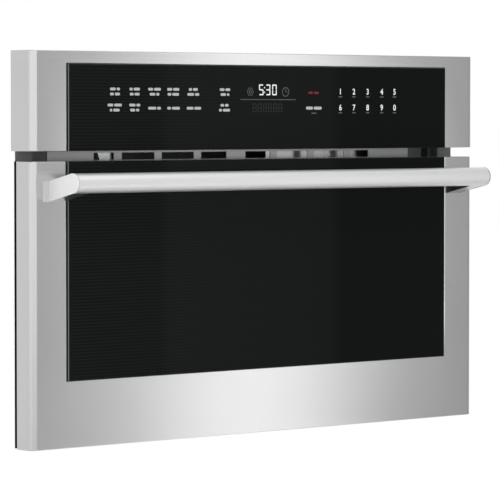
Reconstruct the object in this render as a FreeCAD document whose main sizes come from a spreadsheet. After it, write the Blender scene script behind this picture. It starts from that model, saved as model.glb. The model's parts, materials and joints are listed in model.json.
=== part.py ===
"""Built-in drop-down-door microwave oven, built as an assembly of separate named pieces.

Frame: X runs to the right seen from the front, Y into the cabinet, Z up. The cabinet's front
face is the plane Y = 0 and the underside of the base plate is Z = 0. Lengths are in millimetres.
"""
import FreeCAD, Part
import Sketcher
import math
import os
import re

doc = FreeCAD.newDocument("microwave")
dims = doc.addObject("Spreadsheet::Sheet", "dims")

# Driving sizes: name, value, what it is
SIZES = (
    ("front_width", 759, "width of the stainless front"),
    ("door_height", 351, "height of the door"),
    ("vent_gap", 12.3, "air gap between door and control panel"),
    ("panel_height", 122.7, "height of the control panel"),
    ("panel_depth", 39.5, "control panel front to cabinet face"),
    ("door_setback", 1, "door front behind the control panel front"),
    ("door_side_depth", 28, "depth of the door's side returns"),
    ("base_drop", 14, "door bottom below the base plate"),
    ("skin_thick", 1, "stainless sheet of the front"),
    ("corner_radius", 8, "vertical front corners"),
    ("side_strip", 54.5, "steel strip beside the glass"),
    ("top_strip", 15, "steel strip above the control glass"),
    ("bottom_band", 81, "steel band below the door glass"),
    ("glass_thick", 4, "front glass panes"),
    ("glass_proud", 2.5, "glass front ahead of the steel"),
    ("glass_gap", 2.4, "gap round the glass"),
    ("flange_inset", 6, "flange edge inside the front's sides"),
    ("flange_thick", 1.5, "mounting flange sheet"),
    ("flange_lip", 2, "flange edge inside the front's top and bottom"),
    ("opening_margin", 31.5, "front edge to the flange opening"),
    ("flange_step", 0.4, "flange behind the case, ahead of the cabinet face"),
    ("flange_ledge", 2, "step in the flange outside the case"),
    ("opening_floor", 8, "lower edge of the flange opening"),
    ("opening_cover", 6, "flange sheet above its opening, below the case top"),
    ("mount_inset", 6.5, "cabinet screw holes from the flange edge"),
    ("mount_low", 60, "height of the lower cabinet screws"),
    ("mount_rise", 240, "lower to upper cabinet screws"),
    ("mount_bore", 2.6, "radius of a cabinet screw hole"),
    ("case_margin", 25.5, "front edge to the case"),
    ("case_drop", 40, "case top below the control panel top"),
    ("case_depth", 530, "depth of the case behind the cabinet face"),
    ("case_thick", 1, "case sheet"),
    ("base_thick", 1.2, "base plate sheet"),
    ("recess", 18.7, "cabinet face to the oven's front frame"),
    ("frame_thick", 1.5, "front frame sheet"),
    ("cavity_margin", 30, "choke plug past the cavity's side"),
    ("cavity_floor", 42, "height of the cavity floor"),
    ("cavity_height", 235, "inside height of the cavity"),
    ("cavity_depth", 380, "inside depth of the cavity"),
    ("cavity_wall", 1, "cavity sheet"),
    ("slot_height", 9, "height of a front vent slot"),
    ("slot_lift", 0.2, "vent slots above the door's top edge"),
    ("slot_wide", 53.5, "full width vent slot"),
    ("slot_bar", 12.3, "bar between vent slots"),
    ("slot_inner", 43.1, "width of the vent slot beside the centre"),
    ("slot_outer", 33.1, "width of the outermost vent slot"),
    ("slot_start", 16.4, "half width of the centre bar"),
    ("strip_side", 69.2, "front edge to the vent strip"),
    ("strip_thick", 1.2, "vent strip sheet"),
    ("strip_margin", 4, "vent strip below its slots"),
    ("strip_cover", 10, "vent strip above its slots"),
    ("hinge_y", 22, "door hinge axis ahead of the cabinet face"),
    ("hinge_z", 0.5, "door hinge axis above the base"),
    ("pin_radius", 4, "hinge pin"),
    ("pin_fit", 0.08, "radial clearance of pins and shafts"),
    ("arm_margin", 49.5, "front edge to the hinge arms"),
    ("arm_thick", 3, "hinge arm plate"),
    ("arm_nose", 8, "radius of a hinge arm's nose"),
    ("arm_low", 9.5, "lower edge of a hinge arm behind its nose"),
    ("arm_tall", 12, "height of a hinge arm behind its nose"),
    ("tab_wide", 36, "width of a hinge arm's tab"),
    ("tab_tall", 46, "height of a hinge arm's tab"),
    ("hinge_slot", 7, "slot in the door for a hinge arm"),
    ("hinge_slot_top", 38, "top of that slot"),
    ("hinge_slot_front", 31, "front of that slot ahead of the cabinet face"),
    ("cheek_thick", 3, "hinge channel sheet"),
    ("channel_tall", 150, "hinge channel height"),
    ("spring_wire", 1, "radius of the hinge spring wire"),
    ("spring_coil", 6.6, "radius of the hinge spring coil"),
    ("frame_gap", 1.5, "door frame inside the door skin"),
    ("frame_sheet", 1.5, "door frame sheet"),
    ("backing_thick", 3, "plastic backing behind the door glass"),
    ("backing_side", 70, "width of the backing's sides"),
    ("backing_top", 20, "height of the backing's top"),
    ("plug_margin", 79.5, "front edge to the door's choke plug"),
    ("plug_floor", 16, "lower edge of the choke plug"),
    ("plug_drop", 26, "choke plug below the door's top"),
    ("plug_gap", 3.2, "choke plug to the front frame"),
    ("window_margin", 60, "choke plug past the door window"),
    ("window_floor", 62, "lower edge of the door window"),
    ("window_height", 198, "height of the door window"),
    ("window_lap", 10, "inner glass over the window edge"),
    ("cover_thick", 1.5, "choke cover"),
    ("handle_radius", 12.2, "handle bar"),
    ("handle_wall", 1.8, "handle tube wall"),
    ("handle_reach", 47.7, "handle axis ahead of the door front"),
    ("handle_drop", 26.1, "handle axis below the door's top edge"),
    ("handle_margin", 28, "front edge to the handle posts"),
    ("post_wide", 24.4, "width of a handle post"),
    ("post_cheek", 3, "post past the end of the bar"),
    ("post_angle", 12.6, "upward slant of a post in degrees"),
    ("screw_radius", 2.5, "handle screws"),
    ("latch_y", 20, "latch axis ahead of the cabinet face"),
    ("latch_drop", 15, "latch axis below the door's top"),
    ("latch_radius", 4, "latch bar"),
    ("hook_margin", 15, "choke plug past the latch hooks"),
    ("hook_thick", 4, "latch hook plate"),
    ("hook_tall", 8, "height of a latch hook"),
    ("hook_reach", 68, "latch hook behind the latch axis"),
    ("barb_drop", 4, "barb below a latch hook"),
    ("barb_long", 6, "length of a barb"),
    ("hook_slot_drop", 9.5, "lower edge of the hook slots below the latch axis"),
    ("hook_slot_tall", 19.5, "height of the hook slots"),
    ("hook_slot_half", 4, "half width of the hook slots"),
    ("plunger_radius", 2, "interlock plunger"),
    ("plunger_long", 10, "length of an interlock plunger"),
    ("plunger_gap", 0.9, "plunger behind the hook"),
    ("deck_gap", 12, "cavity to the component deck"),
    ("tray_radius", 172, "turntable glass"),
    ("tray_lift", 14.9, "turntable underside above the floor"),
    ("tray_thick", 5, "turntable glass thickness"),
    ("tray_rim", 7, "turntable rim above the glass"),
    ("roller_radius", 7, "turntable rollers"),
    ("roller_place", 110, "rollers from the turntable axis"),
    ("roller_wide", 6, "width of a roller"),
    ("roller_clear", 0.4, "rollers clear of the floor and glass"),
    ("axle_radius", 2, "roller axles"),
    ("ring_wide", 6, "width of the roller ring"),
    ("ring_tall", 4, "height of the roller ring"),
    ("fan_radius", 70, "convection fan"),
    ("pan_half", 125, "half size of the convection housing"),
    ("pan_depth", 46, "depth of the convection housing"),
    ("heater_ring", 92, "convection heater ring"),
    ("heater_tube", 3.5, "heater tube radius"),
    ("wheel_radius", 44, "blower wheel"),
    ("wheel_wide", 60, "blower wheel width"),
    ("board_thick", 1.6, "circuit boards"),
    ("over", 5, "cuts past a face"),
    ("lay_gap", 0.2, "clearance of a piece laid against another"),
    ("relief_gap", 0.3, "cuts past the back of the front glass"),
    ("flange_gap", 0.3, "control panel's fold clear of the flange"),
    ("flange_side_gap", 1, "that cut past the flange's sides"),
    ("rear_slot_side", 54, "case side to the first rear air slot"),
    ("rear_slot_wide", 12, "width of a rear air slot"),
    ("rear_slot_pitch", 28, "rear air slot to the next"),
    ("rear_slot_lift", 30, "rear air slots above the deck"),
    ("rear_slot_tall", 80, "height of the rear air slots"),
    ("rear_screw_edge", 8, "rear screws from the case side"),
    ("rear_screw_low", 30, "height of the lower rear screws"),
    ("rear_screw_mid", 220, "height of the middle rear screws"),
    ("rear_screw_drop", 31, "upper rear screws below the case top"),
    ("rear_hole", 1.7, "radius of a rear screw hole"),
    ("rear_head", 3.6, "radius of a rear screw head"),
    ("rear_head_tall", 2.2, "height of a rear screw head"),
    ("rear_shank", 1.5, "radius of a rear screw shank"),
    ("rear_shank_long", 7, "rear screws inside the case"),
    ("gland_side", 84, "case side to the cord gland"),
    ("gland_z", 70, "height of the cord gland"),
    ("gland_hole", 11, "radius of the gland's hole"),
    ("gland_neck", 10.7, "radius of the gland's neck"),
    ("gland_inside", 10, "gland inside the case"),
    ("gland_collar", 15, "radius of the gland's collar"),
    ("gland_collar_thick", 5, "thickness of the gland's collar"),
    ("gland_tail", 9.5, "radius of the gland's tail"),
    ("gland_tail_long", 14, "gland behind the case"),
    ("cord_bore", 4.2, "radius of the gland's bore"),
    ("duct_margin", 17.5, "exhaust duct past the outermost vent slot"),
    ("duct_wall", 1, "exhaust duct sheet"),
    ("duct_deep", 90, "depth of the exhaust duct"),
    ("duct_drop", 2.5, "exhaust duct below the vent slots"),
    ("duct_rise", 22, "exhaust duct's top above the vent slots' foot"),
    ("outlet_inset", 4, "front frame's air outlet inside the duct"),
    ("outlet_gap", 1, "front frame's air outlet past the vent slots"),
    ("baffle_thick", 1, "air baffle sheet"),
    ("baffle_back", 24.8, "right air baffle behind the front frame"),
    ("baffle_start", 76.3, "right air baffle right of the middle"),
    ("baffle_wide", 159.7, "width of the right air baffle"),
    ("stop_back", 8, "left air baffle behind the front frame"),
    ("stop_start", 200, "left air baffle left of the middle"),
    ("stop_wide", 19, "width of the left air baffle"),
    ("side_vent_edge", 5, "case side to the side vents in the front frame"),
    ("side_vent_wide", 12, "width of a side vent"),
    ("side_vent_drop", 14, "side vents below the vent slots' foot"),
    ("side_vent_rise", 30, "side vents above the vent slots' foot"),
    ("shaft_hole", 12, "radius of the turntable drive's hole in the floor"),
    ("guide_x", 50, "waveguide right of the middle"),
    ("guide_wide", 95, "width of the waveguide"),
    ("guide_y", 155, "waveguide behind the cabinet face"),
    ("guide_deep", 100, "depth of the waveguide"),
    ("guide_tall", 34, "height of the waveguide"),
    ("guide_wall", 1.5, "waveguide sheet"),
    ("port_side", 10, "waveguide port inside the waveguide's side"),
    ("port_wide", 70, "width of the waveguide port"),
    ("port_front", 15, "waveguide port behind the waveguide's front"),
    ("port_deep", 60, "depth of the waveguide port"),
    ("mica_lap", 4, "mica cover past the waveguide port"),
    ("mica_thick", 0.5, "mica cover"),
    ("deck_clear", 5, "deck opening round the waveguide"),
    ("lamp_y", 90, "lamp housing behind the cabinet face"),
    ("lamp_deep", 50, "depth of the lamp housing"),
    ("lamp_drop", 22, "lamp housing below the cavity top"),
    ("lamp_tall", 45, "height of the lamp housing"),
    ("lamp_wide", 30, "lamp housing outside the cavity"),
    ("lamp_sheet", 1.5, "lamp housing sheet"),
    ("lamp_lap", 5, "lamp housing past its port"),
    ("bulb_out", 16, "bulb axis outside the cavity"),
    ("bulb_lift", 22, "bulb axis above the housing's foot"),
    ("bulb_socket", 9, "radius of the bulb's socket"),
    ("bulb_socket_long", 14, "length of the bulb's socket"),
    ("bulb_radius", 7, "bulb"),
    ("bulb_long", 28, "length of the bulb"),
    ("bulb_bite", 0.5, "bulb inside its socket"),
    ("back_slot", 4, "width of a slot before the convection fan"),
    ("back_rim", 4, "those slots inside the fan's edge"),
    ("back_pilot", 1.6, "radius of the hole at the fan's axis"),
    ("broil_half", 110, "half width of the broil element"),
    ("broil_start", 160, "broil element's bend behind the mouth"),
    ("broil_drop", 14, "broil element below the cavity top"),
    ("motor_radius", 26, "turntable motor"),
    ("motor_tall", 20, "height of the turntable motor"),
    ("ear_half", 36, "half length of the turntable motor's ears"),
    ("ear_wide", 14, "width of those ears"),
    ("ear_thick", 2, "thickness of those ears"),
    ("coupler_shaft", 4, "radius of the turntable coupler's shaft"),
    ("coupler_gap", 0.3, "coupler above the motor"),
    ("coupler_long", 12, "length of the coupler's shaft"),
    ("coupler_hub", 9, "radius of the coupler's hub"),
    ("coupler_lift", 2, "coupler's hub above the floor"),
    ("coupler_arm", 4.5, "radius of the coupler's arms"),
    ("coupler_reach", 12, "coupler's arms from its axis"),
    ("coupler_arm_lift", 5, "coupler's arms above the floor"),
    ("tray_wall", 4, "turntable rim's wall"),
    ("tray_lug", 3.5, "radius of the turntable's lugs"),
    ("tray_lug_reach", 14, "turntable's lugs from its axis"),
    ("tray_lug_drop", 4, "turntable's lugs below the glass"),
    ("ring_gap", 1, "roller ring inside the rollers"),
    ("axle_in", 3, "roller axles inside the rollers"),
    ("axle_out", 2, "roller axles outside the rollers"),
    ("pan_trim", 15, "convection housing's height inside its width, on each side"),
    ("pan_sheet", 1, "convection housing sheet"),
    ("pan_hole", 6, "radius of the fan shaft's hole"),
    ("heater_back", 22, "ring heater behind the cavity"),
    ("clip_wide", 6, "width of a ring heater clip"),
    ("clip_tall", 12, "height of a ring heater clip"),
    ("fan_shaft", 3, "radius of the convection fan's shaft"),
    ("fan_shaft_back", 8, "that shaft's tip behind the cavity"),
    ("fan_shaft_out", 23, "that shaft's end behind the convection housing"),
    ("fan_sheet", 1.2, "convection fan sheet"),
    ("fan_plate_back", 30, "convection fan's plate behind the cavity"),
    ("fan_hub", 9, "radius of the convection fan's hub"),
    ("fan_hub_back", 12, "that hub behind the cavity"),
    ("fan_hub_long", 20, "length of that hub"),
    ("blade_start", 12, "convection fan's blades from its axis"),
    ("blade_trim", 4, "those blades inside the fan's edge"),
    ("blade_deep", 18, "depth of those blades"),
    ("blade_back", 13, "those blades behind the cavity"),
    ("stator_half", 30, "half size of the convection motor"),
    ("stator_off", 14, "convection motor behind its housing"),
    ("stator_deep", 26, "depth of the convection motor"),
    ("stator_leg", 8, "width of the convection motor's legs"),
    ("stator_bite", 0.5, "those legs inside the motor"),
    ("stator_bore", 15, "depth of the convection motor's bore"),
    ("tube_side", 48, "magnetron axis inside the waveguide's side"),
    ("tube_back", 65, "magnetron axis behind the waveguide's front"),
    ("yoke_wide", 80, "width of the magnetron's yoke"),
    ("yoke_deep", 60, "depth of the magnetron's yoke"),
    ("yoke_tall", 74, "height of the magnetron's yoke"),
    ("yoke_sheet", 3, "magnetron yoke sheet"),
    ("fin_bite", 0.5, "magnetron's fins inside the yoke"),
    ("fin_inset", 2, "magnetron's fins behind the yoke's edge"),
    ("fin_start", 12, "first magnetron fin above the yoke's foot"),
    ("fin_pitch", 8, "magnetron fin to the next"),
    ("fin_thick", 1, "magnetron fin sheet"),
    ("anode_radius", 19, "magnetron's anode"),
    ("anode_tall", 72, "height of the anode"),
    ("antenna_ahead", 5, "magnetron's antenna ahead of its axis"),
    ("antenna_radius", 8, "magnetron's antenna"),
    ("antenna_drop", 22, "antenna below the yoke"),
    ("antenna_bite", 2, "antenna inside the yoke"),
    ("antenna_hole", 12, "radius of the antenna's hole"),
    ("filter_wide", 56, "width of the magnetron's filter box"),
    ("filter_deep", 50, "depth of the filter box"),
    ("filter_tall", 18, "height of the filter box"),
    ("core_side", 54, "case side to the transformer"),
    ("core_y", 290, "transformer core behind the cabinet face"),
    ("core_wide", 110, "width of the transformer core"),
    ("core_deep", 90, "depth of the transformer core"),
    ("core_leg", 15, "outer legs of the transformer core"),
    ("core_middle", 16, "middle leg of the transformer core"),
    ("coil_tall", 23, "height of a transformer coil"),
    ("coil_clear", 2, "coils clear of the core's ends"),
    ("coil_out", 18, "coils past the core"),
    ("can_side", 64, "case side to the capacitor's straight part"),
    ("can_wide", 60, "capacitor's straight part"),
    ("can_y", 197.5, "capacitor behind the cabinet face"),
    ("can_radius", 17.5, "capacitor's round ends"),
    ("can_tall", 85, "height of the capacitor"),
    ("lug_first", 15, "first capacitor lug along the straight part"),
    ("lug_pitch", 25, "capacitor lug to the next"),
    ("lug_wide", 6, "width of a capacitor lug"),
    ("lug_thick", 1, "capacitor lug sheet"),
    ("lug_tall", 12, "capacitor lugs above the can"),
    ("scroll_side", 64, "case side to the blower housing"),
    ("scroll_wide", 90, "width of the blower housing"),
    ("scroll_half", 60, "half depth of the blower housing"),
    ("scroll_tall", 120, "height of the blower housing"),
    ("scroll_sheet", 1.5, "blower housing sheet"),
    ("scroll_mouth_side", 10, "blower's mouth inside the housing's sides"),
    ("scroll_mouth_low", 20, "blower's mouth above the deck"),
    ("scroll_mouth_tall", 80, "height of the blower's mouth"),
    ("inlet_lap", 10, "blower's inlet inside the wheel's edge"),
    ("blower_y", 400, "blower axis behind the cabinet face"),
    ("blower_lift", 62, "blower axis above the deck"),
    ("shaft_way", 7, "radius of the blower shaft's hole"),
    ("wheel_clear", 14, "blower wheel inside the housing's side"),
    ("wheel_shaft", 4, "radius of the blower's shaft"),
    ("wheel_shaft_in", 20, "blower shaft's tip inside the housing's side"),
    ("wheel_shaft_out", 15, "blower shaft past the housing"),
    ("wheel_disc", 2, "blower wheel's disc"),
    ("wheel_hub", 10, "radius of the blower wheel's hub"),
    ("wheel_hub_long", 25, "length of the blower wheel's hub"),
    ("wheel_ring", 3, "width of the blower wheel's ring"),
    ("wheel_rim", 8, "height of the blower wheel's ring"),
    ("vane_deep", 7, "depth of a blower vane"),
    ("vane_thick", 1.2, "thickness of a blower vane"),
    ("vane_inset", 0.6, "blower vanes inside the wheel's edge"),
    ("spinner_gap", 10, "blower motor past the housing"),
    ("spinner_long", 40, "length of the blower motor"),
    ("spinner_half", 28, "half depth of the blower motor"),
    ("spinner_tall", 92, "height of the blower motor"),
    ("spinner_bore", 11, "depth of the blower motor's bore"),
    ("carrier_wall", 2.5, "control carrier's wall"),
    ("display_half", 55, "half width of the display"),
    ("display_low", 40, "display above the control panel's foot"),
    ("display_tall", 50, "height of the display"),
    ("display_gap", 2, "carrier's hole above and below the display"),
    ("display_side_gap", 3, "carrier's hole beside the display"),
    ("board_side", 119.5, "front edge to the control board"),
    ("board_low", 35, "control board above the control panel's foot"),
    ("board_tall", 60, "height of the control board"),
    ("board_stand", 7.5, "control board behind the control glass"),
    ("boss_radius", 4, "bosses under the control board"),
    ("boss_side", 10, "bosses inside the board's ends"),
    ("boss_inset", 7, "bosses inside the board's long edges"),
    ("boss_bite", 0.5, "bosses inside the carrier's wall"),
    ("chip_lift", 15, "board's parts above its lower edge"),
    ("chip_tall", 16, "highest of the board's parts"),
    ("chip_bite", 0.2, "board's parts inside the board"),
    ("tab_thick", 1.5, "hinge arm's tab sheet"),
    ("fold_gap", 0.3, "door frame below the door skin's top"),
    ("backing_gap", 2, "glass backing below the door skin's fold"),
    ("backing_foot", 16, "glass backing above the bottom band"),
    ("driver_hole", 6, "radius of a screwdriver hole"),
    ("cover_inset", 8, "choke cover inside the plug's edge"),
    ("screen_thick", 0.8, "window screen"),
    ("cheek_gap", 0.5, "hinge channel's cheeks clear of the slot"),
    ("pin_head", 1.5, "hinge pins past the channels"),
    ("pin_out", 14, "hinge pins past that, under the springs"),
    ("spring_gap", 0.7, "hinge springs clear of the channels"),
    ("spring_long", 11.8, "length of a hinge spring"),
    ("flare_out", 10.3, "post's foot past its cheek"),
    ("flare_deep", 1, "depth of the post's flared foot"),
    ("screw_fit", 0.2, "radial clearance of the handle screws in the door"),
    ("tap_fit", 0.1, "radial clearance of the handle screws in the posts"),
    ("tap_deep", 20, "depth of a post's screw hole"),
    ("screw_in", 17, "handle screws inside the posts"),
    ("screw_head", 4.8, "radius of a handle screw's head"),
    ("screw_head_tall", 3.4, "height of a handle screw's head"),
    ("latch_over", 8, "latch bar past its hooks"),
    ("barb_bite", 1, "barbs inside the hooks"),
    ("bearing_in", 30, "latch bearings inside the hooks"),
    ("bearing_wide", 15, "width of a latch bearing"),
    ("bearing_front", 7, "latch bearings ahead of the latch axis"),
    ("bearing_half", 8, "half height of a latch bearing"),
    ("bed_half", 15, "half width of a latch board"),
    ("bed_deep", 66, "depth of a latch board"),
    ("bed_gap", 2, "latch boards below the barbs"),
    ("ledge_half", 6, "half width of a latch board's ledge"),
    ("ledge_back", 8, "ledges behind the front frame"),
    ("ledge_deep", 8, "depth of a ledge"),
    ("ledge_bite", 1, "ledges inside the latch boards"),
    ("ledge_gap", 0.6, "ledges below the barbs"),
    ("switch_half", 8, "half width of an interlock switch"),
    ("switch_back", 4, "interlock switches behind the plungers' tips"),
    ("switch_deep", 28, "depth of an interlock switch"),
    ("switch_rise", 8, "interlock switches above the latch axis"),
    ("plunger_fit", 0.1, "radial clearance of the plungers"),
    ("plunger_hole", 11, "depth of a plunger's hole"),
    ("plunger_drop", 2, "plungers below the latch axis"),
)

for row, (alias, value, note) in enumerate(SIZES, 1):
    dims.set(f"A{row}", note)
    dims.set(f"B{row}", str(value))
    dims.setAlias(f"B{row}", alias)
doc.recompute()

# Places worked out from the sizes, as text for the document's expressions
PLACES = {
    "opening_half": "front_half - opening_margin",
    "case_half": "front_half - case_margin",
    "case_height": "panel_top - case_drop",
    "plug_half": "front_half - plug_margin",
    "plug_top": "door_top - plug_drop",
    "cavity_half": "plug_half - cavity_margin",
    "window_half": "plug_half - window_margin",
    "hook_place": "plug_half - hook_margin",
    "strip_half": "front_half - strip_side",
    "arm_place": "front_half - arm_margin",
    "handle_half": "front_half - handle_margin",
    "latch_z": "door_top - latch_drop",
    "hook_slot_low": "latch_z - hook_slot_drop",
    "deck_height": "cavity_top + cavity_wall + deck_gap",
    "front_half": "front_width / 2",
    "door_bottom": "-base_drop",
    "door_top": "-base_drop + door_height",
    "panel_bottom": "door_top + vent_gap",
    "panel_top": "panel_bottom + panel_height",
    "panel_front": "-panel_depth",
    "door_front": "-panel_depth + door_setback",
    "door_back": "door_front + door_side_depth",
    "skin_back": "door_front + skin_thick",
    "glass_half": "front_half - side_strip - glass_gap",
    "open_half": "front_half - side_strip",
    "flange_half": "front_half - flange_inset",
    "flange_low": "-base_drop + flange_lip",
    "flange_high": "panel_top - flange_lip",
    "case_inner": "case_half - case_thick",
    "case_top": "case_height - case_thick",
    "case_back": "case_depth - case_thick",
    "mouth": "recess + frame_thick",
    "cavity_top": "cavity_floor + cavity_height",
    "cavity_end": "mouth + cavity_depth",
    "cavity_mid": "mouth + cavity_depth / 2",
    "slot_low": "door_top + slot_lift",
    "plug_back": "recess - plug_gap",
    "backing_back": "door_glass_back + backing_thick",
    "door_glass_back": "door_front - glass_proud + glass_thick",
    "panel_glass_back": "panel_front - glass_proud + glass_thick",
    "bar_y": "door_front - handle_reach",
    "bar_z": "door_top - handle_drop",
    "hook_low": "latch_z - hook_tall / 2",
    "hook_end": "-latch_y + hook_reach",
    "deck_top": "deck_height + base_thick",
    "tray_low": "cavity_floor + tray_lift",
    "axle_z": "cavity_floor + roller_radius + roller_clear",
    "pan_back": "cavity_end + cavity_wall + pan_depth",
    "fan_z": "cavity_floor + cavity_height / 2",
    "gland_x": "-case_half + gland_side",
    "slot_end": "slot_start + slot_inner + 2 * slot_wide + slot_outer + 3 * slot_bar",
    "duct_half": "slot_end + duct_margin",
    "liner_half": "cavity_half + cavity_wall",
    "liner_top": "cavity_top + cavity_wall",
    "liner_floor": "cavity_floor - cavity_wall",
    "guide_right": "guide_x + guide_wide",
    "guide_end": "guide_y + guide_deep",
    "port_x": "guide_x + port_side",
    "port_y": "guide_y + port_front",
    "lamp_end": "lamp_y + lamp_deep",
    "lamp_high": "cavity_top - lamp_drop",
    "lamp_low": "lamp_high - lamp_tall",
    "tube_x": "guide_x + tube_side",
    "tube_y": "guide_y + tube_back",
    "tube_low": "liner_top + guide_tall",
    "yoke_top": "tube_low + yoke_tall",
    "core_right": "case_half - core_side",
    "core_left": "core_right - core_wide",
    "core_end": "core_y + core_deep",
    "core_tall": "2 * core_leg + 2 * coil_tall + core_middle",
    "can_right": "case_half - can_side",
    "can_left": "can_right - can_wide",
    "scroll_left": "-case_half + scroll_side",
    "scroll_right": "scroll_left + scroll_wide",
    "blower_z": "deck_top + blower_lift",
    "wheel_left": "scroll_left + wheel_clear",
    "disc_left": "wheel_left + wheel_wide",
    "spinner_left": "scroll_right + spinner_gap",
    "carrier_half": "front_half - corner_radius - skin_thick",
    "board_half": "front_half - board_side",
    "board_foot": "panel_bottom + board_low",
    "board_front": "panel_glass_back + board_stand",
    "screw_x": "handle_half - post_wide / 2",
    "screw_z": "bar_z - handle_reach * tan(post_angle * 1 deg)",
    "post_rise": "handle_radius / cos(post_angle * 1 deg)",
    "flare_z": "bar_z - (handle_reach - flare_deep) * tan(post_angle * 1 deg)",
    "channel_half": "hinge_slot / 2 + cheek_thick + cheek_gap",
    "bed_top": "hook_low - barb_drop - bed_gap",
    "plunger_y": "hook_end + plunger_gap",
}
NAMES = {alias for alias, value, note in SIZES}
WORD = re.compile(r"\b[a-z]\w*\b")


def formula(text):
    """A text in the names above, written out for the document's expressions."""
    while any(word in PLACES for word in WORD.findall(text)):
        text = WORD.sub(lambda m: f"({PLACES[m[0]]})" if m[0] in PLACES else m[0], text)
    return WORD.sub(lambda m: f"dims.{m[0]}" if m[0] in NAMES else m[0], text)


def bind(thing, field, text):
    thing.setExpression(field, formula(text))


def put(thing, x, y, z):
    for axis, text in zip("xyz", (x, y, z)):
        bind(thing, f"Placement.Base.{axis}", text)
    return thing


TURN = {
    "x": FreeCAD.Rotation(FreeCAD.Vector(0, 1, 0), 90),
    "y": FreeCAD.Rotation(FreeCAD.Vector(1, 0, 0), -90),
    "z": FreeCAD.Rotation(),
}


def box(x, y, z):
    """A block from its (start, end) texts along each axis."""
    thing = doc.addObject("Part::Box", "block")
    for field, (low, high) in zip(("Length", "Width", "Height"), (x, y, z)):
        bind(thing, field, f"({high}) - ({low})")
    return put(thing, x[0], y[0], z[0])


def rod(axis, radius, at, length):
    """A cylinder along an axis from the place at."""
    thing = doc.addObject("Part::Cylinder", "round")
    bind(thing, "Radius", radius)
    bind(thing, "Height", length)
    thing.Placement.Rotation = TURN[axis]
    return put(thing, *at)


def join(*things):
    thing = doc.addObject("Part::MultiFuse", "joined")
    thing.Shapes = list(things)
    return thing


def cut(base, *tools):
    thing = doc.addObject("Part::Cut", "trimmed")
    thing.Base = base
    thing.Tool = tools[0] if len(tools) == 1 else join(*tools)
    return thing


def group(*things):
    thing = doc.addObject("Part::Compound", "set")
    thing.Links = list(things)
    return thing


pieces = []
NEAR = 0.01  # closeness for finding faces and edges


def piece(name, thing):
    """Name a finished sub-part; it is written out under that name."""
    thing.Label = name
    pieces.append(thing)
    return thing


def both(low, high):
    """The same X range on the right and on the left."""
    return (low, high), (f"-({high})", f"-({low})")


# Sketched sheet pieces
def body_at(x, y, z):
    return put(doc.addObject("PartDesign::Body", "body"), x, y, z)


def sketch_in(body, role):
    sketch = body.newObject("Sketcher::SketchObject", "outline")
    plane = next(f for f in body.Origin.OriginFeatures if f.Role == role)
    sketch.AttachmentSupport = [(plane, "")]
    sketch.MapMode = "FlatFace"
    return sketch


def hold(sketch, kind, places, text):
    index = sketch.addConstraint(Sketcher.Constraint(kind, *places, 1.0))
    sketch.setExpression(f"Constraints[{index}]", formula(text))


def rectangle(sketch, x, y):
    """A rectangle from its (start, end) texts in the sketch's own axes."""
    first = sketch.GeometryCount
    corners = [FreeCAD.Vector(*c, 0) for c in ((1, 1), (2, 1), (2, 2), (1, 2))]
    for k in range(4):
        sketch.addGeometry(Part.LineSegment(corners[k], corners[(k + 1) % 4]), False)
    for k in range(4):
        nxt = first + (k + 1) % 4
        sketch.addConstraint(Sketcher.Constraint("Coincident", first + k, 2, nxt, 1))
        side = "Vertical" if k % 2 else "Horizontal"
        sketch.addConstraint(Sketcher.Constraint(side, first + k))
    hold(sketch, "DistanceX", (-1, 1, first, 1), x[0])
    hold(sketch, "DistanceY", (-1, 1, first, 1), y[0])
    hold(sketch, "DistanceX", (first, 1, first, 2), f"({x[1]}) - ({x[0]})")
    hold(sketch, "DistanceY", (first + 1, 1, first + 1, 2), f"({y[1]}) - ({y[0]})")


def circle(sketch, x, y, radius):
    index = sketch.addGeometry(Part.Circle(FreeCAD.Vector(1, 1, 0), FreeCAD.Vector(0, 0, 1), 1), False)
    hold(sketch, "DistanceX", (-1, 1, index, 3), x)
    hold(sketch, "DistanceY", (-1, 1, index, 3), y)
    hold(sketch, "Radius", (index,), radius)


def pad(body, sketch, length):
    feature = body.newObject("PartDesign::Pad", "pad")
    feature.Profile = sketch
    bind(feature, "Length", length)
    doc.recompute()
    return feature


def pocket(body, sketch, length):
    """Cut a sketch's outline back to the given depth, both ways from its plane."""
    feature = body.newObject("PartDesign::Pocket", "pocket")
    feature.Profile = sketch
    feature.SideType = "Symmetric"
    bind(feature, "Length", f"2 * ({length})")
    doc.recompute()
    return feature


def sheet_plate(back, thick, x, z, windows=(), holes=()):
    """A flat sheet facing the front: outline, windows, and round holes (x, z, radius)."""
    body = body_at("0", back, "0")
    outline = sketch_in(body, "XZ_Plane")
    rectangle(outline, x, z)
    pad(body, outline, thick)
    if windows:
        cutout = sketch_in(body, "XZ_Plane")
        for window in windows:
            rectangle(cutout, *window)
        pocket(body, cutout, f"2 * ({thick})")
    if holes:
        cutout = sketch_in(body, "XZ_Plane")
        for hole in holes:
            circle(cutout, *hole)
        pocket(body, cutout, f"2 * ({thick})")
    return body


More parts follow.
